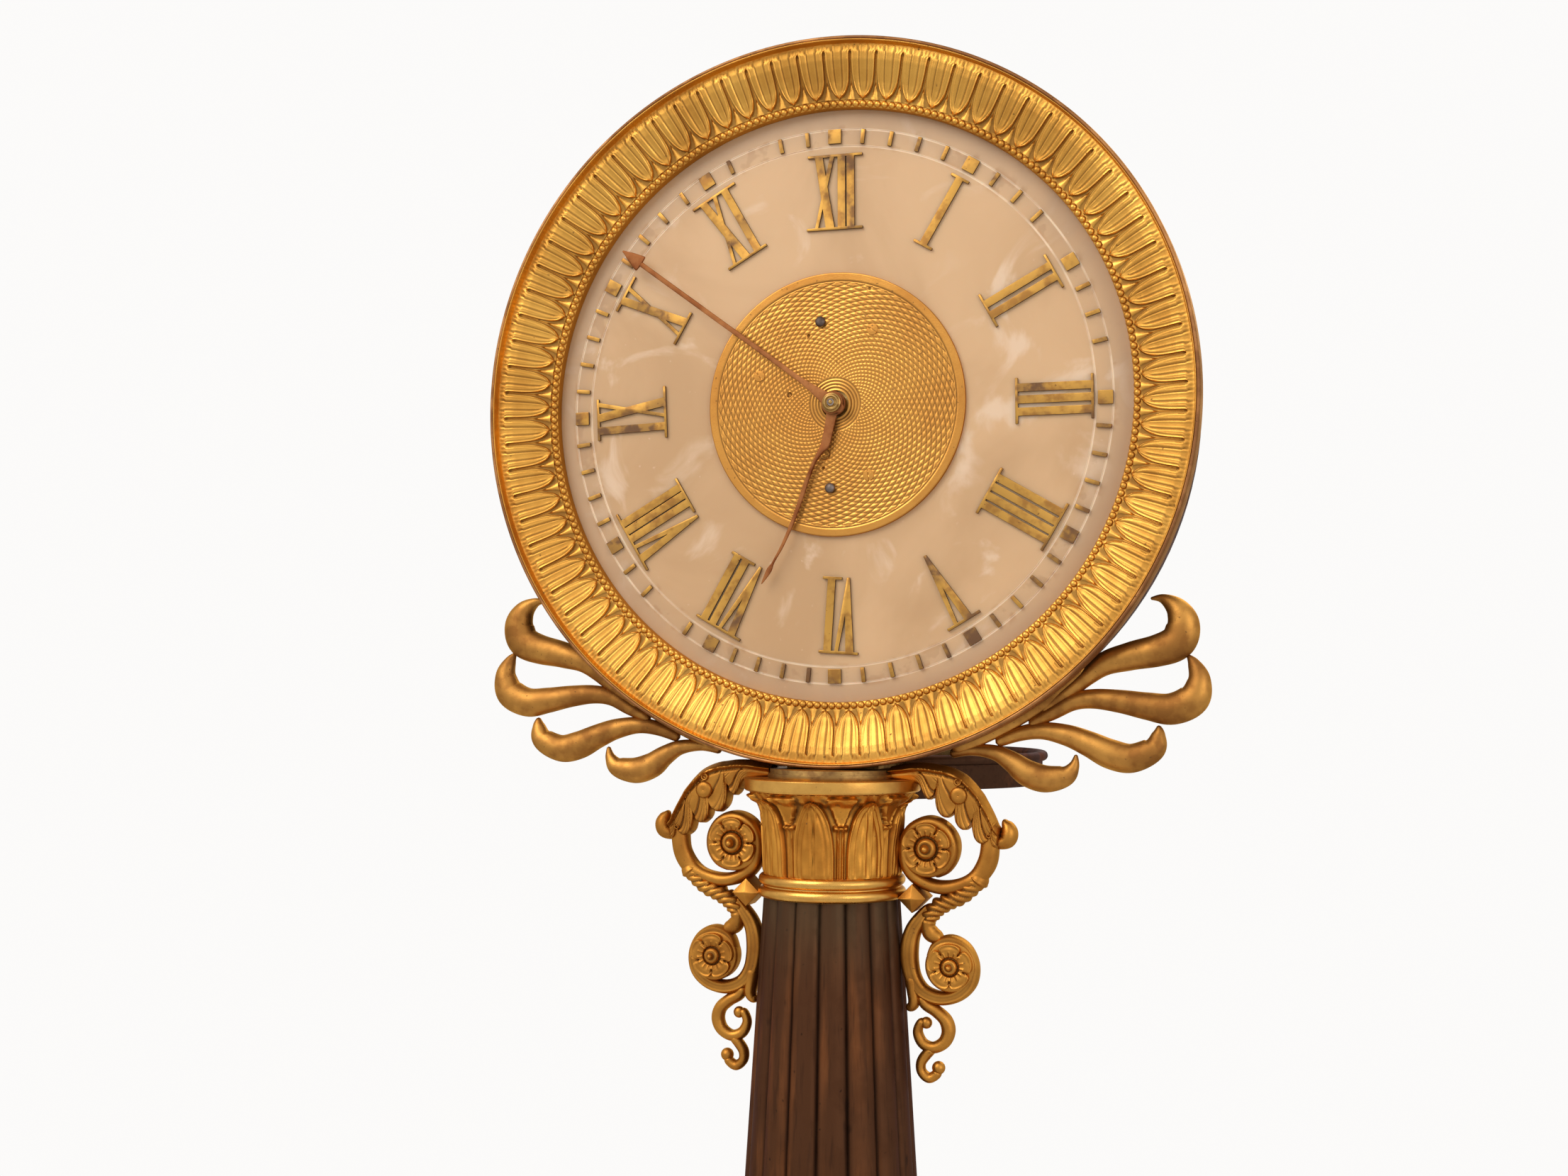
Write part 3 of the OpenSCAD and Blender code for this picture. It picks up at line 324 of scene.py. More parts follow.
def rounded(profile: Knots, radius: float, steps: int = 4) -> Grid:
    """A closed outline with each corner rounded.

    Args:
        profile: Corner points, each two numbers.
        radius: The largest rounding in mm.
        steps: Points on each rounding.

    Returns:
        The outline, its first point repeated at the end.
    """
    corners = np.array(profile, float)
    least_rest = 2.2

    def toward(here: Grid, there: Grid) -> Grid:
        away = np.linalg.norm(there - here)
        return here + (there - here) / max(away, 1e-9) * min(radius, away / least_rest)

    points = []
    for i, here in enumerate(corners):
        start, end = toward(here, corners[i - 1]), toward(here, corners[(i + 1) % len(corners)])
        for t in np.linspace(0, 1, steps + 1):
            points.append((1 - t) ** 2 * start + 2 * t * (1 - t) * here + t * t * end)
    points.append(points[0])
    return np.array(points)


def turned(
    name: str, profile: Knots, radius: float = 0.3, segments: int = 128, on_head: bool = True,
    centre: tuple[float, float] = (0.0, 0.0),
) -> Piece:
    """Turn a closed outline round an axis.

    Args:
        name: The piece's name.
        profile: Corners as (radius, y) on the head, or (radius, z) round an upright axis.
        radius: The rounding of the corners in mm.
        segments: Facets round the axis.
        on_head: True for the axis along Y, False for an upright axis.
        centre: x and z above the dial centre of a head axis, or x and y of an upright one.

    Returns:
        The turned piece.
    """
    outline = rounded(profile, radius)

    def place(u: Grid, v: Grid) -> tuple[Grid, None]:
        a = 2 * math.pi * u
        row, corners = v * (len(outline) - 1), np.arange(len(outline))
        r, h = (np.interp(row, corners, outline[:, k]) for k in (0, 1))
        if on_head:
            return head_point(centre[0] + r * np.sin(a), h, centre[1] + r * np.cos(a)), None
        return np.stack([centre[0] + r * np.sin(a), centre[1] - r * np.cos(a), h], -1), None

    return sheet(name, segments, len(outline) - 1, place, 50)


def catmull(knots: Knots, steps: int) -> Grid:
    """A smooth curve through knots of any number of values.

    Args:
        knots: The knots.
        steps: Points from one knot to the next.

    Returns:
        The curve's points.
    """
    p = np.array(knots, float)
    p = np.vstack([p[0], p, p[-1]])
    points = []
    for i in range(1, len(p) - 2):
        a, b, c, d = p[i - 1 : i + 3]
        slope, bend, twist = c - a, 2 * a - 5 * b + 4 * c - d, 3 * b - a - 3 * c + d
        for t in np.arange(steps) / steps:
            points.append(0.5 * (2 * b + slope * t + bend * t**2 + twist * t**3))
    points.append(p[-2])
    return np.array(points)


def swept(
    name: str, side: Side, knots: Knots, steps: int = 8, sides: int = 20, y: float = 0.0,
    squareness: float = 2.0, relief: Optional[Relief] = None,
) -> Piece:
    """Sweep a rod of changing section along a curve in a plane that faces the front.

    Args:
        name: The piece's name.
        side: Which of the pair it is.
        knots: Rows of q, z, half width, half thickness, and y if it changes.
        steps: Rings from one knot to the next.
        sides: Facets round the section.
        y: The plane's place where the knots don't say it.
        squareness: 2 for an oval section, more for a boxier one.
        relief: Height in mm from the length along the rod in mm and the angle round it (0 outward
            from the curve's left, -90 degrees at the front), or None.

    Returns:
        The rod, closed and rounded at both ends.
    """
    path = catmull(knots, steps)
    if path.shape[1] == 4:
        path = np.c_[path, np.full(len(path), y)]
    ahead = np.gradient(path[:, :2], axis=0)
    ahead /= np.linalg.norm(ahead, axis=1)[:, None]
    length = np.r_[0, np.cumsum(np.linalg.norm(np.diff(path[:, :2], axis=0), axis=1))]
    end_w = np.maximum(path[:, 2], 0.2)
    close = np.minimum(arched(length / end_w[0]), arched((length[-1] - length) / end_w[-1]))

    def place(u: Grid, v: Grid) -> tuple[Grid, Optional[Grid]]:
        row = np.rint(v * (len(path) - 1)).astype(int)
        angle = 2 * math.pi * u
        cos, sin = np.cos(angle), np.sin(angle)
        across = np.sign(cos) * np.abs(cos) ** (2 / squareness)
        through = np.sign(sin) * np.abs(sin) ** (2 / squareness)
        height = relief(length[row], angle) if relief else np.zeros_like(u)
        wide = (path[row, 2] + height) * close[row] * across
        thick = (path[row, 3] + height) * close[row] * through
        q = path[row, 0] - ahead[row, 1] * wide
        z = path[row, 1] + ahead[row, 0] * wide
        return head_point(side.value * q, path[row, 4] + thick, z), height if relief else None

    return sheet(name, sides, len(path) - 1, place, 50, 1, 0.15)


def fair_copy(node: str, rounding: float = 0.0, angle: float = 30.0) -> Piece:
    """Copy a CAD node's mesh with its points merged and its edges rounded, to stand for the node.

    Args:
        node: The CAD node.
        rounding: The rounding of the edges in mm.
        angle: The smallest angle in degrees that is rounded or stays sharp.

    Returns:
        The copy.
    """
    source = frame["nodes"][node]
    obj = placed(node + "_fair", source.data.copy())
    obj.data.materials.clear()
    close_seams(obj, 1e-6)
    if rounding:
        bevel(obj, rounding, 2, angle)
    smooth(obj, angle)
    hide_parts(node)
    return obj


def body_of(node: str) -> str:
    """The name of the body that a CAD node belongs to."""
    return frame["nodes"][node]["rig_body"]


def hand_over(
    obj: Piece, slot: str, finish: "Finish", *nodes: str, body: Optional[str] = None
) -> None:
    """Dress a finished piece and set it on its body in place of its CAD nodes.

    Args:
        obj: The piece.
        slot: The record's material slot; not used.
        finish: The finish.
        nodes: The CAD nodes that it stands for.
        body: The body it rides on, or None for that of its first node.
    """
    finish.dress(obj)
    if nodes:
        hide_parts(*nodes)
    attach(obj, body or body_of(nodes[0]))
    LOG.info("%s: %d faces", obj.name, len(obj.data.polygons))


Colour = tuple[float, float, float]


class Nodes:
    """A shader tree, and short calls that add nodes to it.

    Args:
        tree: The node tree.
    """

    def __init__(self, tree: bpy.types.NodeTree) -> None:
        self.tree = tree

    def node(self, kind: str, inputs: Optional[dict] = None, **settings: object) -> bpy.types.Node:
        """Add a node.

        Args:
            kind: The node's type without its first word, ShaderNode.
            inputs: Values or sockets by input name or number.
            settings: The node's own properties.

        Returns:
            The node.
        """
        made = self.tree.nodes.new("ShaderNode" + kind)
        for key, value in settings.items():
            setattr(made, key, value)
        for key, value in (inputs or {}).items():
            self.feed(made.inputs[key], value)
        return made

    def feed(self, socket: Socket, value: object) -> None:
        """Give an input a value, or link another node's output to it."""
        if isinstance(value, Socket):
            self.tree.links.new(value, socket)
        else:
            socket.default_value = value

    def mapped(
        self, value: Socket, low: float, high: float, to_low: float = 0.0, to_high: float = 1.0
    ) -> Socket:
        """A value moved smoothly from one range to another."""
        ranges = {0: value, 1: low, 2: high, 3: to_low, 4: to_high}
        return self.node("MapRange", ranges, interpolation_type="SMOOTHSTEP").outputs[0]

    def mixed(self, factor: object, a: object, b: object) -> Socket:
        """The mix of two colours, each a socket or three numbers."""
        first, second = (c if isinstance(c, Socket) else (*c, 1.0) for c in (a, b))
        return self.node("Mix", {0: factor, 6: first, 7: second}, data_type="RGBA").outputs[2]

    def maths(self, kind: str, a: object, b: object = 0.0, clamp: bool = False) -> Socket:
        """The result of a Math node, kept from 0 to 1 if clamp is set."""
        return self.node("Math", {0: a, 1: b}, operation=kind, use_clamp=clamp).outputs[0]

    def product(self, a: object, b: object) -> Socket:
        """The product of two values, from 0 to 1."""
        return self.maths("MULTIPLY", a, b, True)

    def total(self, a: object, b: object) -> Socket:
        """The sum of two values, from 0 to 1."""
        return self.maths("ADD", a, b, True)

    def larger(self, a: object, b: object) -> Socket:
        """The larger of two values, from 0 to 1."""
        return self.maths("MAXIMUM", a, b, True)

    def vector(self, kind: str, a: object, inputs: dict, output: int | str = 0) -> Socket:
        """The result of a Vector Math node."""
        return self.node("VectorMath", {0: a, **inputs}, operation=kind).outputs[output]

    def stretched(self, where: Socket, scale: Colour) -> Socket:
        """Coordinates scaled along each axis."""
        return self.node("Mapping", {0: where, "Scale": scale}).outputs[0]

    def noise(
        self, where: Socket, scale: object, detail: float, distortion: float = 0.0
    ) -> Socket:
        """A noise from 0 to 1."""
        inputs = {"Vector": where, "Scale": scale, "Detail": detail, "Distortion": distortion}
        return self.node("TexNoise", inputs).outputs[0]

    def part(self, where: Socket, axis: int) -> Socket:
        """One of a vector's three parts."""
        return self.node("SeparateXYZ", {0: where}).outputs[axis]

    def facing_front(self, low: float, high: float) -> Socket:
        """A mask by how far a face looks along Y, from 0 at low to 1 at high."""
        return self.mapped(self.part(self.node("NewGeometry").outputs["True Normal"], 1), low, high)


def new_group(name: str, inputs: Sequence[tuple[str, str, float]], outputs: Sequence[str]) -> tuple:
    """Start a shader node group.

    Args:
        name: The group's name.
        inputs: Name, socket type and default of each input.
        outputs: Names of the value outputs.

    Returns:
        The group's nodes, its input sockets and its output sockets.
    """
    group = bpy.data.node_groups.new(name, "ShaderNodeTree")
    for label, kind, default in inputs:
        socket = group.interface.new_socket(label, in_out="INPUT", socket_type=kind)
        if kind == "NodeSocketFloat":
            socket.default_value = default
    for label in outputs:
        group.interface.new_socket(label, in_out="OUTPUT", socket_type="NodeSocketFloat")
    entry, leave = group.nodes.new("NodeGroupInput"), group.nodes.new("NodeGroupOutput")
    return Nodes(group), entry.outputs, leave.inputs


def age_group() -> bpy.types.NodeTree:
    """The shared signs of age from 0 to 1: broad clouds, mottling, small dark specks, a grain."""
    known = bpy.data.node_groups.get("signs_of_age")
    if known:
        return known
    inside, entry, leave = new_group(
        "signs_of_age",
        [("Vector", "NodeSocketVector", 0.0), ("Scale", "NodeSocketFloat", 30.0),
         ("Specks", "NodeSocketFloat", 0.5)],
        ["Cloud", "Mottle", "Speck", "Grain"],
    )
    where, scale = entry["Vector"], entry["Scale"]
    for label, finer, detail, low, high in (
        ("Cloud", 1.0, 4.0, 0.36, 0.64),
        ("Mottle", 6.0, 5.0, 0.4, 0.66),
        ("Grain", 60.0, 2.0, 0.3, 0.7),
    ):
        cloud = inside.noise(where, inside.maths("MULTIPLY", scale, finer), detail)
        inside.feed(leave[label], inside.mapped(cloud, low, high))
    cells = inside.maths("MULTIPLY", scale, 22.0)
    warp = inside.node("TexNoise", {"Vector": where, "Scale": cells, "Detail": 1.0}).outputs[1]
    moved = inside.vector("ADD", where, {1: inside.vector("SCALE", warp, {3: 0.0012})})
    spots = inside.node("TexVoronoi", {"Vector": moved, "Scale": cells, "Randomness": 1.0}).outputs
    lot = inside.node("SeparateColor", {0: spots["Color"]}).outputs[0]
    chosen = inside.maths("GREATER_THAN", lot, inside.maths("SUBTRACT", 1.0, entry["Specks"]))
    dots = inside.mapped(spots["Distance"], 0.28, 0.08)
    inside.feed(leave["Speck"], inside.product(chosen, dots))
    return inside.tree


def relief_group() -> bpy.types.NodeTree:
    """The shared reading of a relief's tone: darker hollows, dirt with painted shade, and brighter
    ridges, rubbing with painted highlight.
    """
    known = bpy.data.node_groups.get("relief_tone")
    if known:
        return known
    inside, _, leave = new_group("relief_tone", [], ["Hollow", "Ridge"])
    tone = inside.node("Attribute", attribute_name="tone").outputs["Fac"]
    # Hollow darkens as dirt and painted shade; Ridge brightens as rubbing and painted highlight.
    inside.feed(leave["Hollow"], inside.mapped(tone, -0.06, -0.75))
    inside.feed(leave["Ridge"], inside.mapped(tone, 0.1, 0.8))
    return inside.tree


class Paint(Nodes):
    """The nodes of one material: its Principled shader and the object's coordinates.

    Args:
        material: The material.
        roughness: The shader's roughness until it is set.
    """

    def __init__(self, material: bpy.types.Material, roughness: float) -> None:
        super().__init__(material.node_tree)
        self.tree.nodes.clear()
        self.shader = self.node("BsdfPrincipled", {"Roughness": roughness})
        self.node("OutputMaterial", {0: self.shader.outputs[0]})
        self.where = self.node("TexCoord").outputs["Object"]

    def set(self, name: str, value: object) -> None:
        """Give one of the shader's inputs a value or a socket."""
        self.feed(self.shader.inputs[name], value)

    def age(self, where: Socket, scale: float, specks: float) -> Outputs:
        """Add the shared signs of age."""
        inputs = {"Vector": where, "Scale": scale, "Specks": specks}
        return self.node("Group", inputs, node_tree=age_group()).outputs

    def relief(self) -> Outputs:
        """Add the shared reading of the relief's tone."""
        return self.node("Group", node_tree=relief_group()).outputs

    def patches(self, age: Outputs, much: float, mottle_share: float) -> Socket:
        """Clouds with some mottling added, from 0 to 1."""
        mottle = self.product(age["Mottle"], much * mottle_share)
        return self.total(self.product(age["Cloud"], much), mottle)

    def band(self, value: Socket, start: float, full: float, still: float, end: float) -> Socket:
        """A mask that rises from start to full and falls from still to end."""
        return self.product(self.mapped(value, start, full), self.mapped(value, end, still))

    def emboss(self, height: Socket, strength: float, reach: float) -> None:
        """Feed a height into the shader's normal.

        Args:
            height: The height from 0 to 1.
            strength: The strength from 0 to 1.
            reach: The height in mm that 1 stands for.
        """
        bump = self.node("Bump", {"Strength": strength, "Distance": reach * MM, "Height": height})
        self.set("Normal", bump.outputs[0])


@dataclass(frozen=True)
class Finish:
    """A finish, made into a Blender material once and put on each piece that has it.

    Args:
        name: The material's name.
        roughness: The roughness of clean places.
    """

    name: str
    roughness: float = 0.4

    def dress(self, obj: Piece) -> None:
        """Put this finish on a piece."""
        obj.data.materials.clear()
        obj.data.materials.append(self.material())

    def paint_node(self, node: str) -> None:
        """Put this finish on a CAD node that stays as it is."""
        for slot in frame["nodes"][node].material_slots:
            slot.link = "OBJECT"
            slot.material = self.material()

    def material(self) -> bpy.types.Material:
        """The material, built the first time it is asked for."""
        known = bpy.data.materials.get(self.name)
        if known:
            return known
        made = bpy.data.materials.new(self.name)
        made.use_nodes = True
        self.build(Paint(made, self.roughness))
        return made

    def build(self, paint: Paint) -> None:
        """Connect the shader; each kind of finish has its own."""
        raise NotImplementedError


@dataclass(frozen=True)
class Gilding(Finish):
    """Old fire gilding, bright on the ridges with painted highlight, brown in the hollows with dirt
    and painted shade, and speckled with dark spots.

    Args:
        bright: Linear colour of clean gilding.
        deep: Linear colour of its duller patches.
        grime: Linear colour of the dirt and painted shade in the hollows, and of the dark specks.
        wear: How much of the surface is duller, from 0 to 1.
        dirt: How dark the hollows are with dirt and painted shade, from 0 to 1.
        specks: The share of places with a dark speck.
        scale: The size of the patches, larger for smaller ones.
        rough_spread: How much rougher the dull patches are.
        edge_tint: Linear colour of the gloss seen at a low angle.
    """

    bright: Colour = (0.78, 0.46, 0.11)
    deep: Colour = (0.5, 0.25, 0.05)
    grime: Colour = (0.1, 0.045, 0.014)
    wear: float = 0.6
    dirt: float = 0.8
    specks: float = 0.12
    scale: float = 35.0
    rough_spread: float = 0.16
    edge_tint: Colour = (1.0, 0.78, 0.5)

    def build(self, paint: Paint) -> None:
        """Connect the shader."""
        age, relief = paint.age(paint.where, self.scale, self.specks), paint.relief()
        rub_and_highlight_share, speck_share, rub_and_highlight_gain = 0.55, 0.7, 1.25
        dull = paint.patches(age, self.wear, 0.4)
        colour = paint.mixed(dull, self.bright, self.deep)
        # The ridges get a brighter gold: rubbing with painted highlight.
        rub_and_highlight = tuple(min(1.0, c * rub_and_highlight_gain) for c in self.bright)
        colour = paint.mixed(paint.product(relief["Ridge"], rub_and_highlight_share), colour, rub_and_highlight)
        # The hollows get the grime colour: dirt with painted shade.
        hollow = paint.product(relief["Hollow"], self.dirt)
        colour = paint.mixed(hollow, colour, self.grime)
        colour = paint.mixed(paint.product(age["Speck"], speck_share), colour, self.grime)
        soiled = paint.larger(paint.product(hollow, 0.6), age["Speck"])
        paint.set("Base Color", colour)
        paint.set("Specular Tint", (*self.edge_tint, 1))
        paint.set("Metallic", paint.mapped(soiled, 0, 1, 1.0, 0.45))
        rough = paint.total(paint.product(dull, self.rough_spread), self.roughness)
        paint.set("Roughness", paint.total(rough, paint.product(soiled, 0.2)))
        paint.emboss(age["Grain"], 0.22, 0.04)


@dataclass(frozen=True)
class AppliedGilding(Gilding):
    """Gilding on the dial's applied pieces, with brown stains on the face and side walls darkened
    as painted shade.

    Args:
        wall_shade: Linear colour painted on the side walls as their shade.
    """

    wall_shade: Colour = (0.09, 0.045, 0.02)

    def build(self, paint: Paint) -> None:
        """Connect the shader."""
        age = paint.age(paint.where, self.scale, self.specks)
        stain = paint.mapped(age["Cloud"], 0.5, 1.0)
        stain = paint.product(stain, paint.mapped(age["Mottle"], 0, 1, 0.5, 1.0))
        colour = paint.mixed(age["Mottle"], self.bright, self.deep)
        colour = paint.mixed(paint.product(stain, self.dirt), colour, self.grime)
        colour = paint.mixed(age["Speck"], colour, self.grime)
        # Faces turned away from the front get painted shade.
        wall_shade = paint.facing_front(-0.75, -0.35)
        paint.set("Base Color", paint.mixed(wall_shade, colour, self.wall_shade))
        soiled = paint.larger(wall_shade, paint.product(stain, 0.8))
        paint.set("Metallic", paint.mapped(soiled, 0, 1, 1.0, 0.3))
        paint.set("Roughness", paint.mapped(soiled, 0, 1, self.roughness, 0.7))
        paint.emboss(age["Mottle"], 0.4, 0.05)


@dataclass(frozen=True)
class PatinatedBronze(Finish):
    """Dark brown patinated bronze with upright reddish streaks and darker spots.

    Args:
        brown: Linear base colour.
        red: Linear colour of the streaks.
        dark: Linear colour of the spots, the fine grain and the hollows, where patina lies with
            painted shade.
        green: Linear colour of the weathered upper end of the column.
        rub_and_highlight: Linear colour of its ridges, rubbing with painted highlight.
        weathered: Heights in metres where the weathering starts, is full, and where it ends again.
        streak: How strongly the streaks show.
        drawn_out: How the streaks are drawn out along Z, 1 for round clouds.
    """

    brown: Colour = (0.078, 0.031, 0.014)
    red: Colour = (0.175, 0.062, 0.022)
    dark: Colour = (0.028, 0.013, 0.008)
    green: Colour = (0.07, 0.046, 0.025)
    rub_and_highlight: Colour = (0.2, 0.095, 0.05)
    weathered: tuple[float, float, float, float] = (0.195, 0.222, 0.232, 0.236)
    streak: float = 0.85
    drawn_out: float = 0.07

    def build(self, paint: Paint) -> None:
        """Connect the shader."""
        drawn = paint.stretched(paint.where, (1.0, 1.0, self.drawn_out))
        streaks = paint.noise(drawn, 230.0, 4.0)
        age, relief = paint.age(paint.where, 26.0, 0.05), paint.relief()
        reddish = paint.product(paint.mapped(streaks, 0.45, 0.68), self.streak)
        colour = paint.mixed(paint.product(reddish, age["Cloud"]), self.brown, self.red)
        fine = paint.noise(drawn, 900.0, 3.0)
        colour = paint.mixed(paint.mapped(fine, 0.5, 0.75, 0, 0.45), colour, self.dark)
        blots = paint.noise(paint.stretched(paint.where, (1.0, 1.0, 0.45)), 150.0, 2.0)
        spots = paint.larger(paint.mapped(blots, 0.68, 0.74), age["Speck"])
        colour = paint.mixed(paint.product(spots, 0.8), colour, self.dark)
        # Ridges lighter as rubbing with painted highlight, hollows darker as patina with painted
        # shade.
        colour = paint.mixed(paint.product(relief["Ridge"], 0.35), colour, self.rub_and_highlight)
        colour = paint.mixed(paint.product(relief["Hollow"], 0.7), colour, self.dark)
        top = paint.band(paint.part(paint.where, 2), *self.weathered)
        top = paint.product(top, paint.mapped(streaks, 0.35, 0.6, 0.3, 0.8))
        paint.set("Base Color", paint.mixed(top, colour, self.green))
        paint.set("Metallic", 0.75)
        paint.set("Specular Tint", (0.35, 0.25, 0.2, 1))
        rough = self.roughness
        paint.set("Roughness", paint.mapped(age["Mottle"], 0, 1, rough, rough + 0.14))
        paint.emboss(fine, 0.25, 0.06)


@dataclass(frozen=True)
class Alabaster(Finish):
    """Translucent alabaster with cloudy veins, chalky flecks and a greyer edge by the bezel, partly
    painted shadow of the bezel.

    Args:
        pale: Linear colour of the clear stone.
        pink: Linear colour of its veins.
        edge: Linear colour near the bezel, greyer stone with painted shadow of the bezel.
        chalk: Linear colour of the flecks.
        cut: Linear colour of the engraved circles.
        rust: Linear colour of the stain beside them.
        grime: Linear colour of the stains round the minute bars.
        rings: Radii in metres of the two engraved circles.
        track_at: Their centre from the dial's centre, in metres.
        stained: Radii in metres between which the stains round the bars come and go.
    """

    pale: Colour = (0.68, 0.435, 0.235)
    pink: Colour = (0.56, 0.34, 0.17)
    edge: Colour = (0.47, 0.315, 0.2)
    chalk: Colour = (0.8, 0.6, 0.43)
    cut: Colour = (0.95, 0.76, 0.55)
    rust: Colour = (0.5, 0.24, 0.09)
    grime: Colour = (0.32, 0.16, 0.07)
    rings: tuple[float, float] = (0.0725, 0.0772)
    track_at: tuple[float, float] = (-0.00055, -0.00015)
    stained: tuple[float, float, float, float] = (0.0712, 0.0735, 0.077, 0.0792)

    def build(self, paint: Paint) -> None:
        """Connect the shader."""
        at_dial = {0: paint.where, "Location": (0.0, 0.0, -HEAD_Z * MM)}
        centred = paint.node("Mapping", at_dial).outputs[0]
        flat = paint.vector("MULTIPLY", centred, {1: (1.0, 0.0, 1.0)})
        radius = paint.vector("LENGTH", flat, {}, "Value")
        broad = paint.noise(centred, 16.0, 5.0, 0.9)
        veins = paint.noise(centred, 34.0, 7.0, 1.8)
        age = paint.age(centred, 30.0, 0.05)
        colour = paint.mixed(paint.mapped(broad, 0.38, 0.66), self.pale, self.pink)
        colour = paint.mixed(paint.mapped(veins, 0.54, 0.7, 0, 0.8), colour, self.chalk)
        # Near the bezel the stone turns greyer: partly its own colour, partly painted shadow of the
        # bezel.
        grey_and_bezel_shadow = paint.product(
            paint.mapped(radius, 0.068, 0.084, 0, 0.8), paint.mapped(veins, 0.3, 0.6, 0.6, 1.0)
        )
        colour = paint.mixed(grey_and_bezel_shadow, colour, self.edge)
        flecks = paint.product(age["Speck"], paint.mapped(broad, 0.5, 0.6))
        colour = paint.mixed(paint.product(flecks, 0.35), colour, self.chalk)
        colour = self.engraved(paint, colour, flat, veins, age["Mottle"])
        near_bars = paint.band(radius, *self.stained)
        stain = paint.product(near_bars, paint.mapped(age["Mottle"], 0.72, 1.0))
        paint.set("Base Color", paint.mixed(paint.product(stain, 0.25), colour, self.grime))
        paint.set("Subsurface Weight", 0.3)
        paint.set("Subsurface Radius", (1.0, 0.62, 0.4))
        paint.set("Subsurface Scale", 0.004)
        paint.set("Roughness", paint.mapped(veins, 0.3, 0.8, self.roughness, self.roughness + 0.12))
        paint.emboss(age["Mottle"], 0.08, 0.05)

    def engraved(
        self, paint: Paint, colour: Socket, flat: Socket,
        veins: Socket, mottle: Socket,
    ) -> Socket:
        """Draw the two engraved circles, with rust beside them, on the stone's front.

        Args:
            paint: The material's nodes.
            colour: The stone's colour.
            flat: Coordinates in the dial's plane, from its centre.
            veins: The noise of the veins.
            mottle: The mottling.

        Returns:
            The colour with the circles.
        """
        laid = paint.vector("ADD", flat, {1: (-self.track_at[0], 0.0, -self.track_at[1])})
        laid = paint.vector("LENGTH", laid, {}, "Value")
        front = paint.facing_front(-0.5, -0.9)
        for ring in self.rings:
            off = paint.maths("ABSOLUTE", paint.maths("SUBTRACT", laid, ring))
            line = paint.product(
                paint.mapped(off, 0.0004, 0.0001), paint.mapped(veins, 0.3, 0.6, 0.4, 1.0)
            )
            beside = paint.product(paint.mapped(off, 0.0013, 0.0003), paint.mapped(mottle, 0.5, 1))
            line, beside = paint.product(line, front), paint.product(beside, front)
            colour = paint.mixed(paint.product(beside, 0.3), colour, self.rust)
            colour = paint.mixed(line, colour, self.cut)
        return colour


@dataclass(frozen=True)
class BareMetal(Finish):
    """Plain metal with tarnish and turning marks.

    Args:
        clean: Linear colour of the clean metal.
        tarnish: Linear colour of the tarnish.
        spread: How much of it is tarnished, from 0 to 1.
        metallic: How metallic the tarnish is.
        lines: The scale of the upright turning marks, or 0 for none.
    """

    clean: Colour = (0.6, 0.42, 0.16)
    tarnish: Colour = (0.2, 0.1, 0.035)
    spread: float = 0.5
    metallic: float = 0.7
    lines: float = 0.0

    def build(self, paint: Paint) -> None:
        """Connect the shader."""
        age = paint.age(paint.where, 60.0, 0.12)
        much = paint.patches(age, self.spread, 0.6)
        colour = paint.mixed(much, self.clean, self.tarnish)
        darkest = tuple(c * 0.4 for c in self.tarnish)
        colour = paint.mixed(paint.product(age["Speck"], 0.7), colour, darkest)
        height = age["Grain"]
        if self.lines:
            height = paint.noise(paint.stretched(paint.where, (0.03, 0.03, 1.0)), self.lines, 2.0)
            colour = paint.mixed(paint.mapped(height, 0.55, 0.75, 0, 0.5), colour, self.tarnish)
        paint.set("Base Color", colour)
        paint.set("Specular Tint", (0.8, 0.65, 0.5, 1))
        paint.set("Metallic", paint.mapped(much, 0, 1, 1.0, self.metallic))
        paint.set("Roughness", paint.mapped(much, 0, 1, self.roughness, self.roughness + 0.25))
        paint.emboss(height, 0.3, 0.05)


@dataclass(frozen=True)
class Plain(Finish):
    """A matt material, such as cotton or a plain board, with a slight mottling.

    Args:
        colour: Linear colour.
        shade: Linear colour of its darker places.
        grain: How far the pattern is drawn out along X, 1 for none.
    """

    colour: Colour = (0.7, 0.66, 0.55)
    shade: Colour = (0.45, 0.4, 0.3)
    grain: float = 1.0

    def build(self, paint: Paint) -> None:
        """Connect the shader."""
        figure = paint.noise(paint.stretched(paint.where, (1.0 / self.grain, 1.0, 1.0)), 400.0, 4.0)
        darker = paint.mapped(figure, 0.4, 0.65)
        paint.set("Base Color", paint.mixed(darker, self.colour, self.shade))
        paint.emboss(figure, 0.3, 0.1)


BEZEL_GILT = Gilding(
    "bezel_gilding", 0.37, bright=(0.7, 0.37, 0.075), deep=(0.44, 0.2, 0.035), dirt=0.6,
    specks=0.04, wear=0.6, scale=30.0,
)
CAST_GILT = Gilding(
    "cast_gilding", 0.4, bright=(0.58, 0.26, 0.042), deep=(0.35, 0.135, 0.02), dirt=0.7,
    specks=0.05, scale=45.0,
)
RIM_GILT = Gilding(
    "worn_rim", 0.45, bright=(0.46, 0.22, 0.08), deep=(0.23, 0.1, 0.04), grime=(0.06, 0.03, 0.014),
    specks=0.12, wear=0.9, scale=55.0,
)
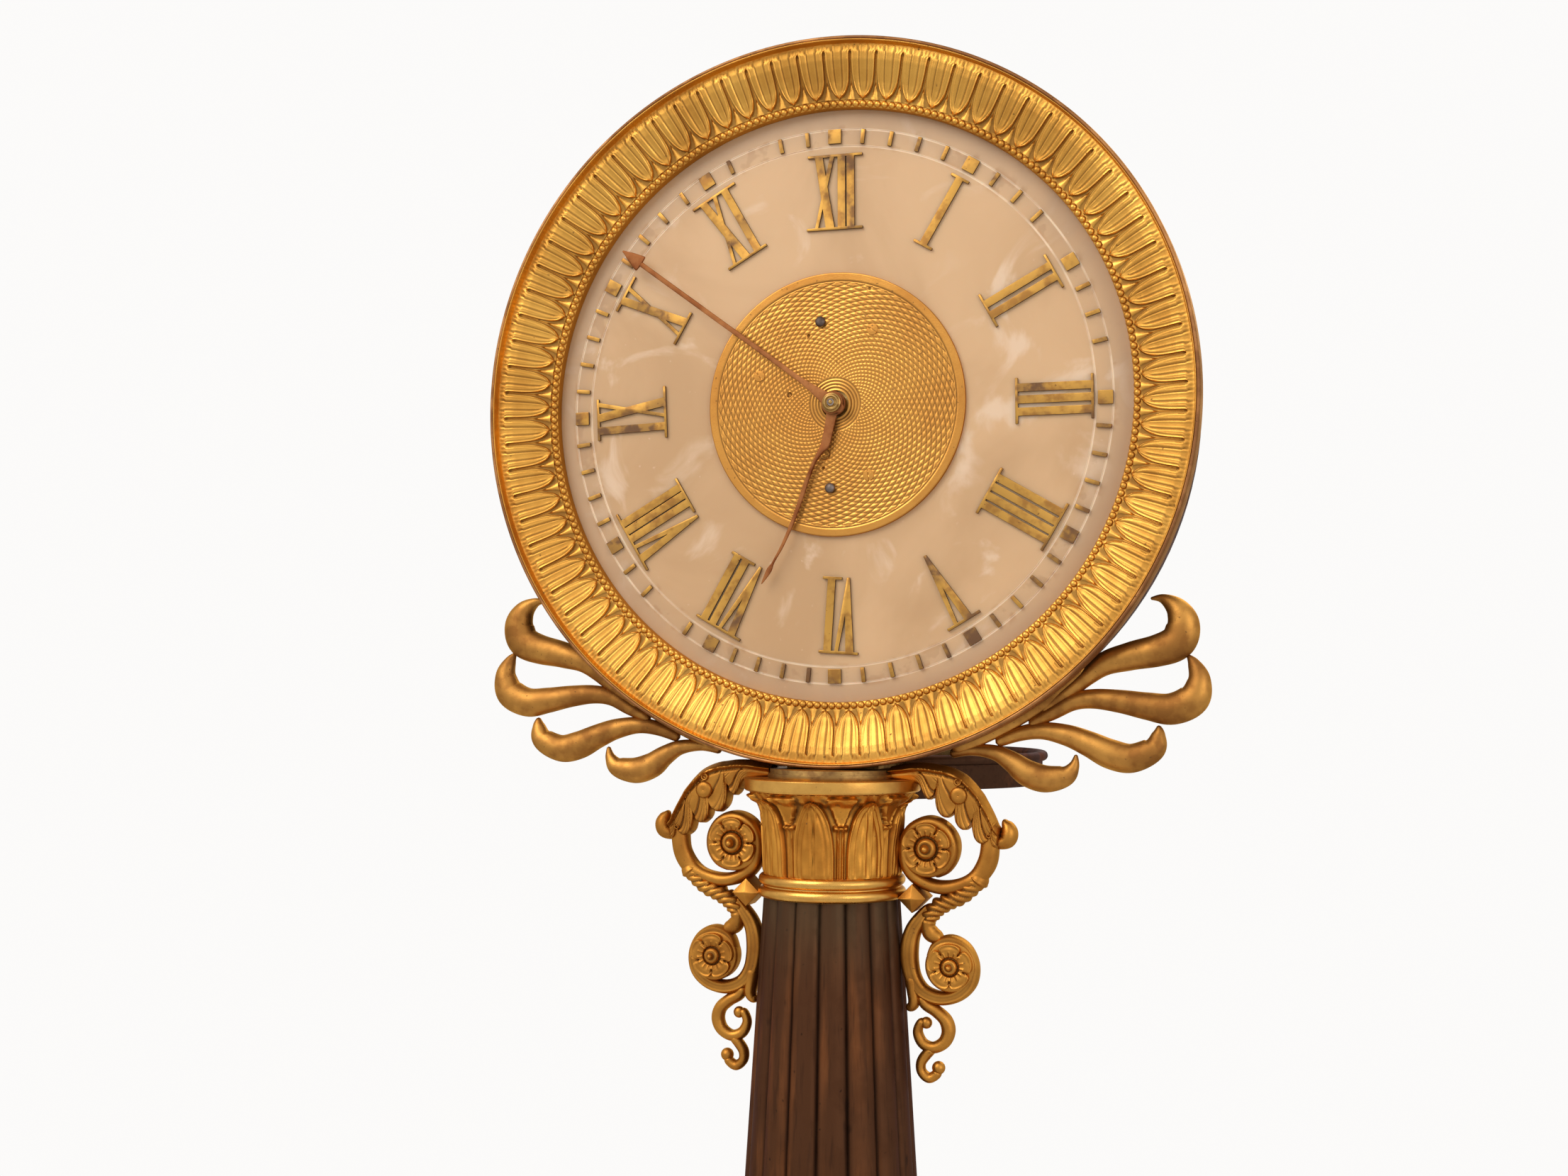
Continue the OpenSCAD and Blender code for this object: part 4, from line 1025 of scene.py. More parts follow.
# The brackets' and rosettes' gilding: a darker copy of the cast gilding, partly browner gilt and
# partly painted shade.
SHADED_BRACKET_GILT = Gilding(
    "bracket_gilding", 0.4, bright=(0.48, 0.215, 0.038), deep=(0.28, 0.105, 0.018), dirt=0.7,
    specks=0.05, scale=45.0,
)
DISC_GILT = Gilding(
    "disc_gilding", 0.3, bright=(0.56, 0.265, 0.058), deep=(0.37, 0.155, 0.033), dirt=0.7,
    specks=0.08, scale=40.0, wear=0.55,
)
FROND_GILT = Gilding(
    "frond_gilding", 0.42, bright=(0.54, 0.265, 0.06), deep=(0.27, 0.115, 0.028), specks=0.07,
    scale=50.0, wear=0.85,
)
DIAL_GILT = AppliedGilding(
    "dial_gilding", 0.42, bright=(0.48, 0.26, 0.06), deep=(0.31, 0.15, 0.04),
    grime=(0.12, 0.055, 0.026), scale=50.0, specks=0.05, dirt=0.85,
)
TURNED_GILT = Gilding(
    "turned_gilding", 0.26, bright=(0.66, 0.36, 0.085), deep=(0.4, 0.19, 0.045), specks=0.1,
    scale=60.0, wear=0.5,
)
BRONZE = PatinatedBronze("patinated_bronze", 0.5)
DARK_BRONZE = PatinatedBronze(
    "darkened_bronze", 0.46, brown=(0.062, 0.028, 0.015), streak=0.5, drawn_out=0.8
)
STONE = Alabaster("veined_alabaster", 0.4)
BRASS = BareMetal(
    "old_brass", 0.34, clean=(0.5, 0.33, 0.12), tarnish=(0.17, 0.08, 0.03), spread=0.6
)
COLLAR_BRASS = BareMetal(
    "turned_brass", 0.26, clean=(0.44, 0.27, 0.085), tarnish=(0.15, 0.075, 0.028), spread=0.6,
    metallic=0.9, lines=700.0,
)
MOVEMENT_BRASS = BareMetal("movement_brass", 0.28, clean=(0.62, 0.43, 0.17), spread=0.3)
STEEL = BareMetal(
    "dark_steel", 0.32, clean=(0.24, 0.2, 0.18), tarnish=(0.06, 0.035, 0.025), spread=0.6
)
RUST = BareMetal(
    "rusted_steel", 0.6, clean=(0.2, 0.062, 0.022), tarnish=(0.52, 0.22, 0.075), spread=0.62,
    metallic=0.5,
)
COTTON = Plain("woven_cotton", 0.9)
BOARD = Plain("plain_board", 0.7, colour=(0.12, 0.06, 0.03), shade=(0.06, 0.03, 0.015), grain=12.0)


def dress_copies(rows: Sequence[tuple[str, float, str, Finish]]) -> None:
    """Give CAD nodes fair copies and finishes.

    Args:
        rows: The node, the rounding of its edges in mm, its material slot and its finish.
    """
    for node, rounding, slot, finish in rows:
        hand_over(fair_copy(node, rounding), slot, finish, node)


@dataclass
class Bezel:
    """The gilt bezel: plain ring with a worn rim, hollow band of eighty leaves, row of beads."""

    leaves: int = 80
    first_tip: float = 1.2
    leaf_columns: int = 44
    tip_r: float = 84.6
    slot_end_r: float = 96.0
    slot: float = 0.05  # half of the slot between two leaves, as a share of their spacing
    plate_h: float = 0.45  # a leaf's plate over the floor
    swell_h: float = 0.3  # the swell of each half of a leaf
    lip_h: float = 0.2  # the raised line along its edge
    vein_h: float = 0.1  # the line on each side of its middle
    groove_h: float = 0.17  # the groove beside that line
    dart_h: float = 0.3  # the point that fills the gap between two tips
    sunk: float = 0.12  # how deep the ground lies beside a leaf
    floor: tuple = (
        (84.3, -1.25), (86.5, -1.55), (89, -2.4), (92, -3.75), (94.5, -4.75), (96.5, -5.2),
        (99.0, -5.25),
    )
    band: tuple[float, float] = (84.35, 98.75)
    band_rows: int = 50
    band_depth: float = 0.9
    beads: int = 252
    bead_r: float = 1.02
    bead_ring: float = 83.35
    bead_y: float = -0.75
    facets: int = 320
    ring: tuple = (
        (82.4, 2.4), (82.4, -0.45), (83.3, -0.75), (84.5, -0.9), (86.5, -0.95), (89, -1.8),
        (92, -3.2), (94.5, -4.2), (96.5, -4.7), (98.6, -4.8), (98.75, -6.2), (98.9, -7.8),
        (99.05, -8.15), (99.25, -8.15), (99.35, -7.8), (99.6, -7.6), (99.6, -1.2), (97.6, -1.2),
        (97.6, -3.2), (95.0, -3.2), (89.6, -0.8), (86.3, 0.3), (85.5, 2.4),
    )
    rim: tuple = (
        (99.1, -1.0), (99.1, -7.5), (99.5, -8.15), (99.9, -8.2), (100.25, -7.9), (100.4, -7.3),
        (100.4, -1.0),
    )

    def leaf_half(self, r: Grid) -> Grid:
        """Half of a leaf's width at a radius, as a share of the leaves' spacing."""
        end = self.slot_end_r
        grown = 0.458 * (1 - np.exp(-np.clip(r - self.tip_r, 0, 99) / 2.3)) ** 0.85
        gap = self.slot * half_round((r - end) / 0.9)
        closed = 0.5 - gap + self.slot * step_up(r, end + 0.5, end + 1.3)
        return np.where(r > end, closed, np.minimum(grown, 0.45))

    def relief(self, a: Grid, r: Grid) -> Grid:
        """The leaves' height over the floor in mm.

        Args:
            a: Angle clockwise from twelve in degrees.
            r: Radius.

        Returns:
            The height.
        """
        pitch = 360 / self.leaves
        u = (a - self.first_tip) / pitch
        s = np.abs(u - np.round(u))
        arc = r * math.radians(pitch)
        half = self.leaf_half(r)
        inside = (half - s) * arc
        leaf = step_up(inside, -0.06, 0.1)
        fade = 1 - step_up(r, 96.2, 98.6)
        share = s / np.maximum(half, 0.03)
        drawn = step_up(r, 86.2, 88.0) * (1 - step_up(r, 98.0, 98.7))
        swell = self.swell_h * np.sin(math.pi * unit((1 - share) / 0.7)) * (0.25 + 0.75 * fade)
        edge = self.lip_h * bump_at(inside, 0.16, 0.17) * (0.3 + 0.7 * fade)
        edge -= 0.12 * bump_at(inside, 0.52, 0.18) * fade
        lines = self.vein_h * bump_at(share, 0.24, 0.07)
        lines -= self.groove_h * bump_at(share, 0.36, 0.075) * (0.4 + 0.6 * fade)
        lines -= 0.1 * bump_at(share, 0.64, 0.07) * step_up(r, 89.5, 92.5)
        body = leaf * (self.plate_h + swell + edge + lines * drawn)
        foot = (0.5 - s) * arc
        dart_half = np.clip(0.95 * (89.0 - r) / 4.4, 0, 0.9)
        dart = (self.dart_h + 0.16 * bump_at(foot, 0, 0.2)) * step_up(dart_half - foot, -0.05, 0.12)
        return body + dart * (1 - leaf) - self.sunk * (1 - leaf)

    def leaf_band(self, name: str, first: float, last: float) -> Piece:
        """A part of the hollow band of leaves, between two angles in degrees.

        The grid's columns follow the leaves' outlines, so that their edges are clean.
        """
        inner, outer = self.band
        radii = np.r_[np.linspace(inner, outer, self.band_rows), outer, 95.0, 90.0, inner, inner]
        back = np.r_[np.zeros(self.band_rows), np.ones(4), 0]
        count = round(self.leaves * (last - first) / 360) * self.leaf_columns

        def place(u: Grid, v: Grid) -> tuple[Grid, Grid]:
            row = np.rint(v * (len(radii) - 1)).astype(int)
            r = radii[row]
            leaf = (last - first) * u * self.leaves / 360
            side = 2 * (leaf - np.floor(leaf)) - 1
            half = np.clip(self.leaf_half(r), 0.03, 0.47)
            off = np.interp(np.abs(side), [0, 0.75, 1], [0, 1, 2])
            off = np.where(off < 1, off * half, half + (off - 1) * (0.5 - half))
            a = first + (np.floor(leaf) + 0.5 + np.sign(side) * off) * 360 / self.leaves
            height = self.relief(a, r) * (1 - back[row])
            y = np.interp(r, *np.transpose(self.floor)) - height + self.band_depth * back[row]
            return polar_point(np.radians(a), r, y), height

        return sheet(name, count, len(radii) - 1, place, 60, 3, 0.12, True)

    def build(self) -> None:
        """Model the ring and its worn rim, the two halves of the band and the beads."""
        ring = turned("bezel", self.ring, 0.2, self.facets)
        hand_over(ring, "gilt", BEZEL_GILT, "bezel_frame")
        hand_over(turned("bezel_rim", self.rim, 0.3, self.facets), "gilt", RIM_GILT, body="case")
        start = self.first_tip - 180 / self.leaves
        for name, first in (("bezel_leaves_right", start), ("bezel_leaves_left", start + 180)):
            half = self.leaf_band(name, first, first + 180)
            hand_over(half, "gilt", BEZEL_GILT, "bezel_leaves")
        bead = sphere(self.bead_r, 12, 8)
        places = []
        for a in (2 * math.pi * k / self.beads for k in range(self.beads)):
            x, z = self.bead_ring * math.sin(a), HEAD_Z + self.bead_ring * math.cos(a)
            at = Matrix.Translation(Vector((x, self.bead_y, z)) * MM)
            places.append(at @ Matrix.Rotation(math.pi / 2, 4, "X"))
        hand_over(copies("bead_row", bead, places), "gilt", BEZEL_GILT, body="case")


@dataclass
class CentreDisc:
    """The engine-turned gilt disc with its domed pins and flush screws."""

    rim_r: float = 36.7
    corns: int = 48
    first_corn: float = 0.63
    columns_each: int = 10
    pitch: tuple[float, float] = (1.21, 0.00846)  # the rows' spacing at the centre, and its growth
    outer_row: float = 32.7
    inner_rows: int = 17
    cut: float = 0.24
    face_y: float = 1.2
    rows: int = 168
    bore_r: float = 3.9
    ring_cut: float = 0.16
    ring_pitch: float = 0.9
    patterned: tuple[float, float] = (7.7, 34.0)  # the corns lie between these radii
    pin_places: tuple = ((-4.2, 23.1), (-1.2, -23.3))
    pin_dome: tuple = (
        (0, 0.9), (1.2, 0.95), (1.45, 0.7), (1.4, 0.35), (1.05, -0.05), (0.55, -0.28), (0, -0.35),
    )
    flush_places: tuple = ((10.6, 20.4), (-22.0, 8.6), (9.6, -19.9))
    flush_r: float = 1.58
    flush_ys: tuple[float, float] = (1.08, 1.9)
    holes: tuple = (
        (-3.05, -13.8, 1.75), (9.7, 31.9, 0.45), (-13.3, 3.1, 0.75), (-7.8, 19.4, 0.5),
        (-3.4, -17.6, 0.4),
    )

    def engraving(self, a: Grid, r: Grid) -> Grid:
        """The depth of the cut below the face, as a height in mm that is at most 0."""
        around = self.corns * a / (2 * math.pi) - self.first_corn
        start, growth = self.pitch
        out = (np.log(start + growth * r) - math.log(start + growth * self.outer_row)) / growth
        corn, plain = np.zeros_like(r), np.zeros_like(r)
        for shift in (0.0, 0.5):
            row = np.round(out + shift)
            across = np.abs(around + shift - np.round(around + shift))
            up = np.abs(out + shift - row)
            shape = unit(1 - 2 * across - 2 * up)
            inside = (row <= 0) & (row >= -self.inner_rows)
            corn = np.maximum(corn, np.where(inside, shape, 0))
            plain = np.maximum(plain, np.where(inside, 0, shape))
        size = self.cut * (0.5 + 0.5 * r / self.outer_row)
        cut = -size * (1 - np.maximum(corn**0.8, 0.7 * step_up(plain, 0, 0.3)))
        wave = 0.5 - 0.5 * np.cos(2 * math.pi * (r - 4.1) / self.ring_pitch)
        rings = -self.ring_cut * wave - 0.04
        groove = -0.2 * bump_at(r, 34.3, 0.2)
        inner, outer = self.patterned
        return np.where(r < inner, rings, np.where(r > outer, groove, cut))

    def build(self) -> None:
        """Model the disc, the domed pins and the flush screws."""
        bore, rim = self.bore_r, self.rim_r
        front = np.linspace(bore + 0.15, rim - 0.15, self.rows)
        radii = np.r_[[bore, bore, bore + 0.05], front, [rim, rim, rim, bore]]
        inner_ys, outer_ys = [DIAL_Y, 1.35, self.face_y], [1.32, 1.6, DIAL_Y, DIAL_Y]
        plain = np.r_[inner_ys, np.full(len(front), self.face_y), outer_ys]
        carved = np.r_[np.zeros(3), np.ones(len(front)), np.zeros(4)]

        def place(u: Grid, v: Grid) -> tuple[Grid, Grid]:
            row = np.rint(v * (len(radii) - 1)).astype(int)
            a, r = 2 * math.pi * u, radii[row]
            height = self.engraving(a, r) * carved[row]
            x, z = r * np.sin(a), r * np.cos(a)
            for px, pz, size in self.holes:
                away = np.hypot(x - px, z - pz)
                height = height - 0.5 * (1 - step_up(away, size * 0.8, size * 1.05)) * carved[row]
            return polar_point(a, r, plain[row] - height), height

        columns = self.corns * self.columns_each
        disc = sheet("centre_disc_engraved", columns, len(radii) - 1, place, 60, 2, 0.07)
        hand_over(disc, "gilt", DISC_GILT, "centre_disc")
        pins = [
            turned(f"pin_{k}", self.pin_dome, 0.12, 32, True, at)
            for k, at in enumerate(self.pin_places)
        ]
        hand_over(join("disc_pins", pins), "steel", STEEL, "disc_screws")
        face, back = self.flush_ys
        head = [(0, back), (self.flush_r, back), (self.flush_r, face), (0, face)]
        heads = []
        for k, (x, z) in enumerate(self.flush_places):
            heads.append(turned(f"flush_{k}", head, 0.08, 40, True, (x, z)))
            cut_slot(heads[-1], x, z, face, 30 + 25 * k)
        hand_over(join("flush_screw_heads", heads), "gilt", DISC_GILT, "flush_screws")


def cut_slot(obj: Piece, x: float, z: float, front: float, turn: float) -> None:
    """Cut a driver slot into a head that faces the front.

    Args:
        obj: The head.
        x: Its centre's x.
        z: Its centre's height above the dial centre.
        front: The y of its front.
        turn: The slot's turn in degrees.
    """
    length, depth, width = 4.0, 0.6, 0.36
    tool = cube()
    size = Matrix.Diagonal((length * MM, depth * MM, width * MM, 1.0))
    spin = Matrix.Rotation(math.radians(turn), 4, "Y")
    tool.data.transform(Matrix.Translation(Vector((x, front, HEAD_Z + z)) * MM) @ spin @ size)
    modifier = obj.modifiers.new("slot", "BOOLEAN")
    modifier.operation, modifier.object, modifier.solver = "DIFFERENCE", tool, "EXACT"
    apply_all(obj)
    bpy.data.objects.remove(tool)
    smooth(obj, 30)


@dataclass
class Dial:
    """The alabaster ring with its applied numerals, squares and minute bars."""

    rounding: float = 0.12

    def build(self) -> None:
        """Dress the stone and round the applied pieces' edges."""
        hand_over(fair_copy("dial_alabaster", 0.0, 25), "alabaster", STONE, "dial_alabaster")
        applied = ("numerals", "hour_squares", "minute_bars")
        dress_copies([(node, self.rounding, "gilt", DIAL_GILT) for node in applied])


@dataclass
class Hands:
    """The rusted steel hands and their brass collet.

    The hour hand's path holds q, z, half width and half thickness. The minute hand's boss holds z
    and the two halves, and its head the distance back from the tip and the two halves.
    """

    minute_angle: float = 306.3
    minute_boss: tuple = (
        (-4.0, 0.8, 0.3), (0, 2.6, 0.4), (3.5, 1.6, 0.4), (9.5, 0.85, 0.4), (14, 0.72, 0.38),
    )
    minute_rod: tuple = (24, 36, 48, 58, 66)
    minute_head: tuple = (
        (7.6, 0.7, 0.36), (7.1, 0.75, 0.36), (6.9, 2.2, 0.4), (6.4, 2.3, 0.4), (4.8, 1.85, 0.4),
        (3.0, 1.3, 0.38), (1.2, 0.6, 0.3), (0, 0.2, 0.2),
    )
    minute_len: float = 77.25
    minute_y: float = -1.8
    hour_y: float = -0.4
    hour_path: tuple = (
        (0.4, 2.6, 1.0, 0.4), (0, 0, 2.2, 0.4), (-0.6, -3.4, 1.5, 0.4), (-1.5, -8.0, 1.3, 0.4),
        (-2.4, -11.4, 1.2, 0.42), (-3.6, -13.2, 0.75, 0.75), (-5.4, -16.2, 0.42, 0.8),
        (-7.2, -20.4, 0.5, 0.6), (-8.9, -25.2, 0.6, 0.42), (-11.2, -31.6, 0.55, 0.4),
        (-14.4, -38.8, 0.42, 0.38), (-16.7, -42.9, 0.3, 0.34), (-17.4, -44.2, 0.34, 0.34),
        (-18.3, -45.8, 0.72, 0.34), (-19.4, -47.7, 0.52, 0.3), (-20.6, -49.8, 0.1, 0.2),
    )
    collet: tuple = (
        (0, -2.2), (2.7, -2.2), (2.7, -2.75), (2.25, -2.95), (2.15, -3.3), (1.6, -3.35),
        (1.5, -3.1), (1.2, -3.1), (1.1, -3.45), (0.6, -3.5), (0.5, -3.8), (0, -3.85),
    )

    def build(self) -> None:
        """Model both hands and the stepped collet."""
        hour = swept("hour_hand_strip", Side.RIGHT, self.hour_path, 6, 16, self.hour_y, 4.5)
        boss = turned("hour_boss", [(2.9, 0.0), (3.4, 0.0), (3.4, -0.8), (2.9, -0.8)], 0.15, 64)
        hand_over(join("hour_hand_forged", [hour, boss]), "rusted", RUST, "hour_hand")
        rod = [(0, *knot) for knot in self.minute_boss]
        rod += [(0, z, 0.7, 0.36) for z in self.minute_rod]
        rod += [(0, self.minute_len - back, *size) for back, *size in self.minute_head]
        minute = swept("minute_hand_rod", Side.RIGHT, rod, 6, 16, self.minute_y, 3.6)
        turn = Matrix.Rotation(math.radians(self.minute_angle), 4, "Y")
        to_centre = Matrix.Translation((0, 0, -HEAD_Z * MM))
        minute.data.transform(Matrix.Translation((0, 0, HEAD_Z * MM)) @ turn @ to_centre)
        hub = turned("minute_hub", [(2.3, -1.4), (3.05, -1.4), (3.05, -2.2), (2.3, -2.2)], 0.15, 64)
        hand_over(join("minute_hand_forged", [minute, hub]), "rusted", RUST, "minute_hand")
        collet = turned("collet_turned", self.collet, 0.14, 64)
        hand_over(collet, "brass", COLLAR_BRASS, "hand_collet")


@dataclass
class Drum:
    """The dark drum behind the bezel with the ring and screws that hold the dial."""

    def build(self) -> None:
        """Dress the drum and what is in it."""
        dress_copies([
            ("drum_shell", 0.25, "dark_bronze", DARK_BRONZE),
            ("retaining_ring", 0.2, "brass", BRASS),
            ("retaining_screws", 0.15, "steel", STEEL),
            ("disc_posts", 0.1, "brass", MOVEMENT_BRASS),
        ])


@dataclass
class Spray:
    """One spray of four curled fronds at the side of the drum.

    Each frond's rows hold q, z, half width and half thickness.
    """

    side: Side
    plane_y: float = 1.6
    fronds: tuple = (
        (
            (86.3, -54.3, 0.3, 0.4), (89.6, -54.5, 1.3, 1.5), (93.1, -57, 3, 3),
            (94.8, -61, 4.3, 3.8), (93.3, -65.6, 4.7, 4), (87.9, -68.1, 4.3, 3.8),
            (81, -69.5, 3.8, 3.4), (74.8, -71.3, 3.2, 2.9), (69.7, -74.9, 2.4, 2.4),
            (63.4, -79.9, 1.9, 1.9), (57.4, -84.4, 1.4, 1.4),
        ),
        (
            (95.9, -69.2, 0.4, 0.5), (97.4, -71.4, 1.6, 1.7), (98.8, -75.6, 3, 3),
            (97.4, -80.6, 4.2, 3.8), (91.8, -83.2, 4.2, 3.8), (85.4, -82.7, 3.7, 3.4),
            (78.5, -81.4, 3.1, 3), (71.6, -80.9, 2.6, 2.6), (65.7, -81.7, 2.3, 2.3),
            (60, -84.9, 1.9, 1.9), (54, -88, 1.4, 1.4),
        ),
        (
            (88.4, -87.6, 0.4, 0.5), (88.3, -90, 1.8, 1.8), (86.9, -93.8, 3.2, 3),
            (81.4, -96.4, 3.8, 3.6), (75.8, -95.3, 4, 3.7), (70.2, -92.9, 3.5, 3.3),
            (64.2, -90.5, 2.9, 2.8), (57.8, -89.5, 2.3, 2.3), (51, -90.5, 1.9, 1.9),
            (45, -92.9, 1.4, 1.4),
        ),
        (
            (66.7, -95.6, 0.4, 0.5), (66, -98.7, 1.5, 1.5), (63.7, -101.3, 2.8, 2.6),
            (58.5, -102.3, 3.6, 3.4), (53.6, -100.7, 3.6, 3.4), (49.5, -97.9, 2.9, 2.8),
            (44.7, -95.5, 2.1, 2.1), (38.5, -94.8, 1.5, 1.6), (32.5, -96.2, 1.2, 1.3),
        ),
    )
    rail_radii: tuple[float, float] = (97.7, 102.3)
    rail_angles: tuple[float, float] = (136.0, 161.0)

    def rail(self) -> Piece:
        """The curved strip along the drum that carries the fronds."""
        low, high = (math.radians(a) for a in self.rail_angles)
        middle = sum(self.rail_radii) / 2
        half = (self.rail_radii[1] - self.rail_radii[0]) / 2
        angles = np.linspace(low, high, 9)
        knots = [(middle * math.sin(a), middle * math.cos(a), half, 1.8) for a in angles]
        return swept("rail", self.side, knots, 4, 16, self.plane_y, 4.0)

    def build(self) -> None:
        """Model the fronds on their rail."""
        side = self.side.name.lower()

        def uneven(length: Grid, angle: Grid) -> Grid:
            return 0.07 * np.sin(length * 0.43 + angle) + 0.05 * np.sin(length * 0.19 - 2 * angle)

        rods = [
            swept(f"frond_{k}", self.side, frond, 9, 24, self.plane_y, 2.0, uneven)
            for k, frond in enumerate(self.fronds)
        ]
        spray = join(f"fronds_{side}", rods + [self.rail()])
        hand_over(spray, "dull_gilt", FROND_GILT, f"spray_{side}")


@dataclass(frozen=True)
class Rosette:
    """A rosette on a volute.

    Args:
        q: Distance of its centre from the middle plane.
        z: Its centre's height above the dial centre.
        back_y: The distance of its back from the bracket's middle plane.
        r: The radius to the petals' tips.
        height: The petals' height over the back.
        boss: How far the boss stands over the back.
        boss_share: The boss's radius as a share of the petals'.
        petals: How many petals.
    """

    q: float
    z: float
    back_y: float
    r: float
    height: float
    boss: float
    boss_share: float
    petals: int

    def surface(self, angle: Grid, rho: Grid) -> tuple[Grid, Grid]:
        """The radius and height at an angle and a share of the way out."""
        petal = angle * self.petals / (2 * math.pi)
        off = np.abs(petal - np.round(petal)) * 2
        base = self.boss_share
        reach = 1 - (0.1 * off**3 + 0.13 * bump_at(off, 1, 0.1)) * step_up(rho, base + 0.05, 0.85)
        out = unit((rho - base) / (1 - base))
        cupped = 0.5 + 0.35 * np.sin(unit(out / 0.8) * math.pi / 2)
        cupped -= 0.25 * step_up(out, 0.55, 0.95) * (1 - off)
        rim = 0.16 * bump_at(out, 0.93, 0.09)
        between = 0.5 * bump_at(off, 1.0, 0.1) * step_up(out, 0.35, 0.75)
        line = np.abs(((angle * self.petals * 3 / (2 * math.pi)) % 1) - 0.5)
        rays = 0.16 * bump_at(line, 0.5, 0.14) * step_up(out, 0.02, 0.1)
        rays *= 1 - step_up(out, 0.42, 0.55)
        moat = 0.4 * bump_at(rho, base + 0.02, 0.035)
        height = (cupped + rim - between + rays - moat) * self.height
        dome, ball = half_round(rho / base), half_round(rho / (0.38 * base))
        groove = 0.12 * bump_at(rho, 0.5 * base, 0.05)
        foot = 0.35 * self.height
        boss = foot + (0.62 * dome + 0.38 * ball - groove) * (self.boss - foot)
        height = np.where(rho < base, boss, height) * np.where(rho > 0.985, 0.6, 1)
        return self.r * rho * reach, height

    def build(self, side: Side, facing: int) -> Piece:
        """Model it on one face of one bracket; facing is -1 for the front and 1 for the back."""
        share = np.r_[np.linspace(0, 0.45, 16), np.linspace(0.47, 1.0, 24)]

        def place(u: Grid, v: Grid) -> tuple[Grid, Grid]:
            row = np.rint(v * (len(share) + 1)).astype(int)
            rho = np.r_[share, 1.0, 0.0][row]
            angle = 2 * math.pi * u + 0.35
            radius, height = self.surface(angle, rho)
            height = np.where(row >= len(share), -0.6, height)
            x, y = side.value * self.q + radius * np.sin(angle), facing * (self.back_y + height)
            return head_point(x, y, self.z + radius * np.cos(angle)), height

        return sheet("rosette", 36 * self.petals // 2, len(share) + 1, place, 55, 2, 0.22)


